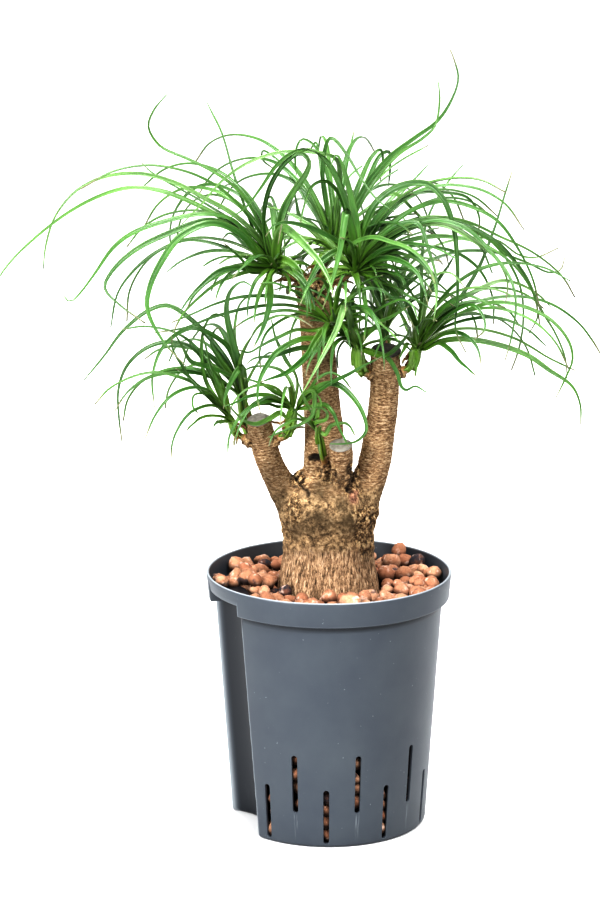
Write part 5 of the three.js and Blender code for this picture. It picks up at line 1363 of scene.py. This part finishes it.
# %% [markdown]
# The read leaves cover the front view. The sides and the back get leaves by rule: each
# one rises from its head, leans over as it goes and swerves a little. Leaves of one
# head may touch each other at the root, but no leaf may pass through another head or
# a limb. So each leaf is tried at a few depths, or drawn again, until it is clear.

# %% Lay every leaf's middle line
PROBE_STEP = 3
LIMB_PROBES = 40
LIMB_ROOM = 0.6
STEM_ROOM = 1.12
LEAF_GAP = 0.5
DEPTH_SWINGS = (0, -10, 10, -20, 20, -35, 35, -50, 50, -70, 70, -95, 95)
FILL_SEED = 20240611
FILL_ATTEMPTS = 8
FILL_LIFT = (35, 80)
FILL_DROOP = (95, 150)
FILL_SWERVE = (-40, 40)
FILL_WIDTH = (4.5, 7)
FILL_FACE = (-20, 20)
ARCH_STEPS = 7
ARCH_POWER = 1.25
BLADE_ROOT = 0.45
BLADE_SPREAD = 0.14
BLADE_TAPER = 0.55
BLADE_THREAD = 1.1


def seen(across, up, depth):
    """A place seen at across and up on the middle plane, lying depth behind it."""
    nearer = depth / (-EYE[1] / MM)
    return np.stack([across * (1 + nearer), depth + 0 * across, up + (up - EYE[2] / MM) * nearer], -1)


def seen_line(heart, leaf, swing):
    """A leaf's middle line from its heart, bent in depth so that its outline stays."""
    flat = np.array([heart[:2]] + leaf[3], float)
    run = np.concatenate([[0], np.cumsum(np.hypot(*np.diff(flat, axis=0).T))])
    share = run / run[-1]
    depth = heart[2] + (leaf[2] - heart[2]) * share + swing * share * (2 - share)
    return seen(flat[:, 0], flat[:, 1], depth)


def arch_line(root, azimuth, lift, length, droop, swerve):
    """A leaf that rises from its root and arches over under its own weight."""
    share = (np.arange(ARCH_STEPS) + 0.5) / ARCH_STEPS
    climb = np.radians(lift - droop * share ** ARCH_POWER)
    turn = np.radians(azimuth + swerve * share ** 2)
    steps = np.stack([np.cos(climb) * np.cos(turn), np.cos(climb) * np.sin(turn), np.sin(climb)], -1)
    return np.concatenate([root[None], root + np.cumsum(steps * length / ARCH_STEPS, axis=0)])


def blade_width(width, share):
    """Widest past the root, and a thread at the tip."""
    root = BLADE_ROOT + (1 - BLADE_ROOT) * np.minimum(share / BLADE_SPREAD, 1)
    return np.maximum(width * root * (1 - share) ** BLADE_TAPER, BLADE_THREAD)


def probes(points, room_at):
    """Points every few millimetres along a line, each with the room that it needs."""
    length = spaced(points, 2)[1]
    count = math.ceil(length / PROBE_STEP)
    share = np.arange(count + 1) / count
    return np.column_stack([spaced(points, count)[0], room_at(share) + 0 * share])


def is_clear(line, others):
    apart = ((line[:, None, :3] - others[None, :, :3]) ** 2).sum(-1)
    return bool((apart >= (line[:, None, 3] + others[None, :, 3] + LEAF_GAP) ** 2).all())


def stem_line(shoot):
    """From the shoot's foot, the way that it leaves the limb, to its heart."""
    foot, leave = np.array(shoot["foot"], float), np.array(shoot["leave"], float)
    heart = seen(*np.array(shoot["heart"], float))
    reach = np.linalg.norm(heart - foot) / 3
    return np.stack([foot, foot + leave / np.linalg.norm(leave) * reach, heart])


def lay_leaves():
    """Every shoot's leaves as (line, width, face): the read ones first, then the added ones."""
    limbs = []
    for limb in LIMBS.values():
        centre, _, radius = limb_stations(limb, LIMB_PROBES)
        limbs.append(np.column_stack([centre, radius + LIMB_ROOM]))
    blades = [[] for _ in SHOOTS]
    taken = [[probes(stem_line(shoot), lambda share, stem=shoot["stem"]: stem * STEM_ROOM)] for shoot in SHOOTS]

    def others(own):
        return np.concatenate(limbs + [line for number, lines in enumerate(taken) if number != own for line in lines])

    def try_leaf(own, line, width, obstacles):
        found = probes(line, lambda share: blade_width(width, share) / 2)
        if not is_clear(found, obstacles):
            return False
        taken[own].append(found)
        return True

    for own, shoot in enumerate(SHOOTS):
        obstacles = others(own)
        for leaf in shoot["leaves"]:
            for swing in DEPTH_SWINGS:
                line = seen_line(shoot["heart"], leaf, swing)
                if try_leaf(own, line, leaf[0], obstacles):
                    blades[own].append((line, leaf[0], leaf[1]))
                    break
    draw = draws(FILL_SEED)
    for own, shoot in enumerate(SHOOTS):
        obstacles = others(own)
        root = seen(*np.array(shoot["heart"], float))
        for _ in range(shoot["fill"]):
            for _ in range(FILL_ATTEMPTS):
                ranges = (shoot["around"], FILL_LIFT, shoot["reach"], FILL_DROOP, FILL_SWERVE, FILL_WIDTH)
                *shape, width = [between(*span, next(draw)) for span in ranges]
                line = arch_line(root, *shape)
                if try_leaf(own, line, width, obstacles):
                    blades[own].append((line, width, between(*FILL_FACE, next(draw))))
                    break
    return blades, np.concatenate(limbs)


BLADES, LIMB_LINES = lay_leaves()
print(sum(len(found) for found in BLADES), "leaves laid")

# %% [markdown]
# A head is fuller than its long leaves alone. Young leaves stand up round its axis,
# and short old ones hang round its foot. Both only need to stay clear of the limbs,
# because leaves of one head push past each other in the real plant too.

# %% Young and hanging leaves
TUFTS = {
    # shoot: young upright leaves, short hanging ones
    "crown_left": (9, 9), "crown_right": (22, 16), "crown_back": (24, 15), "crown_low": (8, 6),
    "shoot_right_inner": (4, 1), "shoot_right_outer": (7, 2), "shoot_right_back": (7, 2),
    "shoot_left_outer": (1, 0), "shoot_left_back": (1, 0), "shoot_left_inner": (1, 0), "shoot_front": (1, 0)}
YOUNG_SPREAD = 0.55
YOUNG_REACH = (0.2, 0.5)
YOUNG_DROOP = (25, 95)
YOUNG_WIDTH = (3.2, 6.5)
HANGING_LIFT = (5, 50)
HANGING_REACH = (34, 72)
HANGING_DROOP = (70, 125)
HANGING_WIDTH = (4, 7.5)


def head_axis(shoot):
    """The direction in which a shoot's stem reaches its heart."""
    line = stem_line(shoot)
    return (line[2] - line[1]) / np.linalg.norm(line[2] - line[1])


def tuft(shoot, chance):
    """A head's extra leaves as (line, width, face), drawn until they miss the limbs."""
    root = seen(*np.array(shoot["heart"], float))
    axis = head_axis(shoot) + [0, 0, 0.35]
    found = []
    young, hanging = TUFTS[shoot["name"]]
    for number in range(young + hanging):
        for _ in range(FILL_ATTEMPTS):
            way = axis + YOUNG_SPREAD * chance.normal(size=3)
            lift = np.degrees(np.arctan2(way[2], np.hypot(way[0], way[1])))
            azimuth = np.degrees(np.arctan2(way[1], way[0]))
            length = shoot["reach"][1] * between(*YOUNG_REACH, chance.random())
            droop, width = between(*YOUNG_DROOP, chance.random()), between(*YOUNG_WIDTH, chance.random())
            if number >= young:
                azimuth, lift = 360 * chance.random(), between(*HANGING_LIFT, chance.random())
                length, droop = between(*HANGING_REACH, chance.random()), between(*HANGING_DROOP, chance.random())
                width = between(*HANGING_WIDTH, chance.random())
            line = arch_line(root, azimuth, lift, length, droop, between(*FILL_SWERVE, chance.random()))
            if is_clear(probes(line, lambda share: width / 2 + 0 * share), LIMB_LINES):
                found.append((line, width, between(*FILL_FACE, chance.random())))
                break
    return found

# %% [markdown]
# Each leaf is a closed strip, eight points to a ring. Five points make the channelled
# upper face, and three make the under face a third of a millimetre below it. Its root
# lies along the stem and folds round it, so the stem reads as a bundle of leaf bases,
# and it leaves the stem at the heart. The strap keeps its width for most of its
# length, twists a little on its way and ends in a dry thread that is nearly round.

# %% Leaf and stem surfaces
LEAF_RINGS = 50
LEAF_THICK = 0.38
THREAD_THICK = 0.85
CHANNEL = 0.6
STRAP_WIDER = 0.76
STRAP_ROOT = 0.62
FACE_FRONT = 0.3
CLASP_RADIUS = 0.42
CLASP_FOLD = 1.5
CLASP_WIDER = 0.3
STEM_SHAPE = (0.85, 0.6, 0.55, 0.5, 0.4)
SPLINE_STEPS = 260


def strap_width(width, share):
    """Nearly even along the strap, a little narrower at the root, and a thread at the tip."""
    root = STRAP_ROOT + (1 - STRAP_ROOT) * np.minimum(share / BLADE_SPREAD, 1)
    thread = 1.45 - 0.85 * smooth_step(0.9, 1, share)
    return np.maximum(STRAP_WIDER * width * root * (1 - share ** 2.3) ** 0.95, thread)


def unit(vector):
    return vector / max(np.linalg.norm(vector), 1e-9)


def leaf_centre(line, shoot, start, tone):
    """The leaf's line with its root laid along the stem; returns centres, millimetres run,
    the root's length and the way in which the leaf leaves the stem."""
    stem = spaced(stem_line(shoot), 20)[0]
    axis = head_axis(shoot)
    ahead = unit(spline(line, [0.12])[0] - line[0])
    spin = np.array([math.cos(97 * tone), math.sin(97 * tone), 0.3])
    outward = unit(ahead - axis * ahead.dot(axis) + 0.35 * unit(np.cross(axis, spin)))
    grip = np.concatenate([stem[int(start * 20):19:5], line[:1]])
    knots = np.concatenate([grip + outward * shoot["stem"] * CLASP_RADIUS, line[1:]])
    fine = spline(knots, np.linspace(0, 1, SPLINE_STEPS), centripetal=True)
    run = np.concatenate([[0], np.cumsum(np.linalg.norm(np.diff(fine, axis=0), axis=-1))])
    root = run[int((len(grip) - 1) / (len(knots) - 1) * (SPLINE_STEPS - 1))]
    even = np.linspace(0, run[-1], LEAF_RINGS)
    return np.stack([np.interp(even, run, fine[:, axis]) for axis in range(3)], -1), even, root, outward


def leaf_strip(line, width, face, shoot, start, tone, withered, dry=0.0):
    """A channelled strip along a line; returns points, faces and the leaf's attributes."""
    centre, run, root, outward = leaf_centre(line, shoot, start, tone)
    share = np.clip((run - root) / (run[-1] - root), 0, 1)
    clasp = 1 - smooth_step(0.3, 1, run / (root + 8))
    spot = np.stack([share * 5 + tone * 50, share * 0, share * 0], -1)
    waver = 0.9 * np.stack([rough(spot + [0, number, 0], 91, 2) for number in (3.0, 7.0, 11.0)], -1)
    centre = centre + waver * (share * (1 - share) * 4)[:, None]

    along = np.gradient(centre, axis=0)
    along /= np.linalg.norm(along, axis=-1, keepdims=True)
    chord = centre[LEAF_RINGS // 2] - centre[0]
    level = np.array([-chord[1], chord[0], 0.0])
    level = level / np.linalg.norm(level) if np.linalg.norm(level) > 0.5 else np.array([0.0, 1.0, 0.0])
    side = level - along * (along @ level)[:, None]
    wrap = np.cross(along, outward)
    wrap *= np.sign(wrap[0] @ side[0]) or 1.0
    side = side + (wrap - side) * clasp[:, None]
    side = side - along * (along * side).sum(-1, keepdims=True)
    side /= np.linalg.norm(side, axis=-1, keepdims=True)
    over = np.cross(along, side)
    front = np.array(EYE) / MM - centre
    front /= np.linalg.norm(front, axis=-1, keepdims=True)
    twist = 0.22 * rough(np.stack([share * 3, share * 0 + tone * 90, share * 0], -1), 92, 1)
    open_to = np.clip((FACE_FRONT + face / 120 + 0.15 * share + twist) * (1 - clasp), 0, 0.95)[:, None]
    over = over + (front - over) * open_to
    side = np.cross(over, along)
    side /= np.linalg.norm(side, axis=-1, keepdims=True)
    under = np.cross(side, along)

    half = (strap_width(width, share) * (1 + CLASP_WIDER * clasp))[:, None] / 2
    thickness = LEAF_THICK + (THREAD_THICK - LEAF_THICK) * (1 - smooth_step(0.6, 1.6, half)) * share[:, None]
    fold = CHANNEL * (1 + CLASP_FOLD * clasp)[:, None]
    rows = []
    for across, thick in ((-1, 0), (-0.5, 0), (0, 0), (0.5, 0), (1, 0), (0.5, 0.8), (0, 1), (-0.5, 0.8)):
        sunk = half * fold * (1 - abs(across) ** 1.2) + thickness * thick
        rows.append(centre + side * half * across + under * sunk)
    rings = np.stack(rows, 1)
    points, faces = tube(rings)
    count = rings.shape[1]
    tip = smooth_step(1 - withered, 1 - 0.4 * withered, share) if withered > 0 else 0 * share
    young = (1 - smooth_step(6, 62, run)) * (1 - 0.4 * start)
    ends = [0, 1]
    return points, faces, {
        "leaf_along": np.concatenate([np.repeat(share, count), ends]),
        "leaf_across": np.concatenate([np.tile([-1, -0.5, 0, 0.5, 1, 0.5, 0, -0.5], LEAF_RINGS), [0, 0]]),
        "leaf_under": np.concatenate([np.tile([0, 0, 0, 0, 0, 1, 1, 1], LEAF_RINGS), [0, 0]]),
        "leaf_tone": np.full(len(points), tone),
        "leaf_base": np.concatenate([np.repeat(young, count), [young[0], 0]]),
        "leaf_dry": np.concatenate([np.repeat(np.maximum(tip, dry), count), [dry, tip[-1]]]),
    }


def stem_core(shoot, rings=24, columns=20):
    """The tapered stem under the leaf bases, with a knob of bark at its foot."""
    centre = spaced(stem_line(shoot), rings - 1)[0]
    along = np.gradient(centre, axis=0)
    along /= np.linalg.norm(along, axis=-1, keepdims=True)
    share = np.linspace(0, 1, rings)
    radius = shoot["stem"] * np.interp(share, np.linspace(0, 1, 5), STEM_SHAPE)
    side, front = cross_axes(along)
    turn = np.linspace(0, 2 * np.pi, columns, endpoint=False)[None, :, None]
    ring = side[:, None] * np.cos(turn) + front[:, None] * np.sin(turn)
    points, faces = tube(centre[:, None] + radius[:, None, None] * ring)
    place = np.concatenate([np.repeat(share, columns), [0, 1]])
    blank = 0 * place
    return points, faces, {
        "leaf_along": place, "leaf_across": blank, "leaf_under": blank, "leaf_tone": blank + 0.4,
        "leaf_base": 1 - smooth_step(0.1, 0.8, place), "leaf_dry": 1 - smooth_step(0.08, 0.3, place)}


def dry_strips(shoot, count, chance):
    """Short withered leaf ends that hang round a head's foot."""
    foot = stem_line(shoot)[0]
    strips = []
    for _ in range(count):
        azimuth, lift = 360 * chance.random(), between(-30, 60, chance.random())
        length = between(7, 24, chance.random() ** 1.5)
        root = foot + head_axis(shoot) * between(0, 12, chance.random())
        line = arch_line(root, azimuth, lift, length, between(20, 90, chance.random()), 40 * chance.random())
        strips.append((line, between(1.8, 4.5, chance.random()), 360 * chance.random()))
    return strips


WITHERED_STRIPS = {"crown_left": 14, "crown_right": 16, "crown_back": 10, "shoot_front": 0}
COVERS = {
    # shoot: leaves that hang over the others at the front, each with its tone
    "crown_left": [
        (0.9, [9.5, 50, -95, [[-37, 435], [-32.9, 444], [-26.8, 440.8], [-17.3, 430.4], [-6.1, 417.6],
                              [0.3, 404.8], [3, 393]]]),
        (0.8, [8.5, 55, -70, [[-35.6, 444.8], [-32.4, 457.6], [-28.4, 465.6], [-22, 476], [-16.9, 484],
                              [-14.8, 491.2], [-16.9, 496.8], [-22, 498.7], [-27, 496]]]),
        (0.2, [8, 40, -62, [[-35, 422], [-28, 419], [-21, 409], [-15.7, 396.8], [-13.2, 382.4]]])],
    "crown_right": [
        (0.35, [7.5, 40, -58, [[14.7, 424], [5.1, 427.6], [-6.1, 420], [-15.7, 403.3], [-19, 391]]])]}
COVERED = {"crown_right": 3}  # this read leaf gives way to a cover


def foliage(shoot, blades, chance):
    """One shoot's stem, long leaves, tuft and dry strips, joined, with their attributes."""
    parts = [stem_core(shoot)]
    for number, (line, width, face) in enumerate(blades + tuft(shoot, chance)):
        start = between(0.1, 0.75, chance.random())
        withered = between(0.03, 0.13, chance.random()) * (chance.random() < 0.65)
        strip = leaf_strip(line, width, face, shoot, start, chance.random(), withered)
        if number != COVERED.get(shoot["name"]):
            parts.append(strip)
    for line, width, face in dry_strips(shoot, WITHERED_STRIPS.get(shoot["name"], 3), chance):
        parts.append(leaf_strip(line, width, face, shoot, 0.9, chance.random(), 0.0, 1.0))
    for tone, leaf in COVERS.get(shoot["name"], []):
        line = seen_line(shoot["heart"], leaf, 0)
        parts.append(leaf_strip(line, leaf[0], leaf[1], shoot, 0.5, tone, 0.0))
    points, faces = together([(part[0], part[1]) for part in parts])
    values = {key: np.concatenate([part[2][key] for part in parts]) for key in parts[0][2]}
    return points, faces, values

# %% [markdown]
# A leaf is waxy and satin, so its upper face takes a pale sheen from the sky while
# its shaded parts stay a deep green. Fine veins run its whole length, so their
# pattern is stretched along the leaf by using how far along and across each point
# lies. The base is yellow-green, some tips are dry, and each leaf has its own tone.

# %% Waxy green leaf
leaf = blank_material("waxy green leaf")
along = add_node(leaf, "Attribute", attribute_name="leaf_along").outputs["Fac"]
across = add_node(leaf, "Attribute", attribute_name="leaf_across").outputs["Fac"]
under = add_node(leaf, "Attribute", attribute_name="leaf_under").outputs["Fac"]
tone = add_node(leaf, "Attribute", attribute_name="leaf_tone").outputs["Fac"]
base = add_node(leaf, "Attribute", attribute_name="leaf_base").outputs["Fac"]
dryness = add_node(leaf, "Attribute", attribute_name="leaf_dry").outputs["Fac"]
own = add_node(leaf, "Math", {0: tone, 1: 97.0}, operation="MULTIPLY")
place = add_node(leaf, "CombineXYZ", {0: across, 1: along, 2: own.outputs[0]})
veins = add_node(leaf, "Mapping", {"Vector": place.outputs[0], "Scale": (5, 1.6, 1)})
vein = add_node(leaf, "TexNoise", {"Vector": veins.outputs[0], "Scale": 2.2, "Detail": 4, "Roughness": 0.6})
patches = add_node(leaf, "Mapping", {"Vector": place.outputs[0], "Scale": (0.6, 7, 1)})
patch = add_node(leaf, "TexNoise", {"Vector": patches.outputs[0], "Scale": 1, "Detail": 2})
green = add_node(leaf, "ValToRGB", {0: tone}, stops=[
    (0.0, "#215719"), (0.8, "#5a8a3d"), (0.45, "#407829"), (1.0, "#7d9f62")])
lighter = add_node(leaf, "MapRange", {0: vein.outputs[0], 1: 0.35, 2: 0.7, 3: 0.0, 4: 0.5})
veined = add_node(leaf, "Mix", {0: lighter.outputs[0], 6: green.outputs[0], 7: linear("#7da05b")}, data_type="RGBA")
shift = add_node(leaf, "MapRange", {0: patch.outputs[0], 1: 0.35, 2: 0.7, 3: 0, 4: 0.55})
varied = add_node(leaf, "Mix", {0: shift.outputs[0], 6: veined.outputs[2], 7: linear("#1f5118")}, data_type="RGBA")
below = add_node(leaf, "Math", {0: under, 1: 0.45}, operation="MULTIPLY")
sided = add_node(leaf, "Mix", {0: below.outputs[0], 6: varied.outputs[2], 7: linear("#5d8438")}, data_type="RGBA")
rooted = add_node(leaf, "Math", {0: base, 1: 0.75}, operation="MULTIPLY")
based = add_node(leaf, "Mix", {0: rooted.outputs[0], 6: sided.outputs[2], 7: linear("#8fb545")}, data_type="RGBA")
straw = add_node(leaf, "ValToRGB", {0: vein.outputs[0]}, stops=[(0.3, "#7a5836"), (0.7, "#d3b585"), (0.5, "#a98257")])
far_out = add_node(leaf, "MapRange", {0: along, 1: 0.6, 2: 0.86, 3: 0, 4: 1})
grey = add_node(leaf, "Mix", {0: far_out.outputs[0], 6: straw.outputs[0], 7: linear("#7c7b5b")}, data_type="RGBA")
dried = add_node(leaf, "Mix", {0: dryness, 6: based.outputs[2], 7: grey.outputs[2]}, data_type="RGBA")
margin = add_node(leaf, "Math", {0: across}, operation="ABSOLUTE")
pale = add_node(leaf, "MapRange", {0: margin.outputs[0], 1: 0.8, 2: 0.98, 3: 0, 4: 0.5})
edged = add_node(leaf, "Mix", {0: pale.outputs[0], 6: dried.outputs[2], 7: linear("#94b26f")}, data_type="RGBA")
relief = add_node(leaf, "Bump", {"Height": vein.outputs[0], "Strength": 0.25, "Distance": 0.0005})
new_material("waxy green leaf", edged.outputs[2], 0.34, relief.outputs[0], **{
    "Specular IOR Level": 0.7, "Coat Weight": 0.25, "Coat Roughness": 0.3})

chance = np.random.default_rng(33)
for shoot, blades in zip(SHOOTS, BLADES):
    points, faces, values = foliage(shoot, blades, chance)
    piece = make_piece("leaves_" + shoot["name"], points, faces, sharp=180)
    for attribute, numbers in values.items():
        give(piece, attribute, numbers)
    settle(piece, "leaf", leaf, shoot["name"])
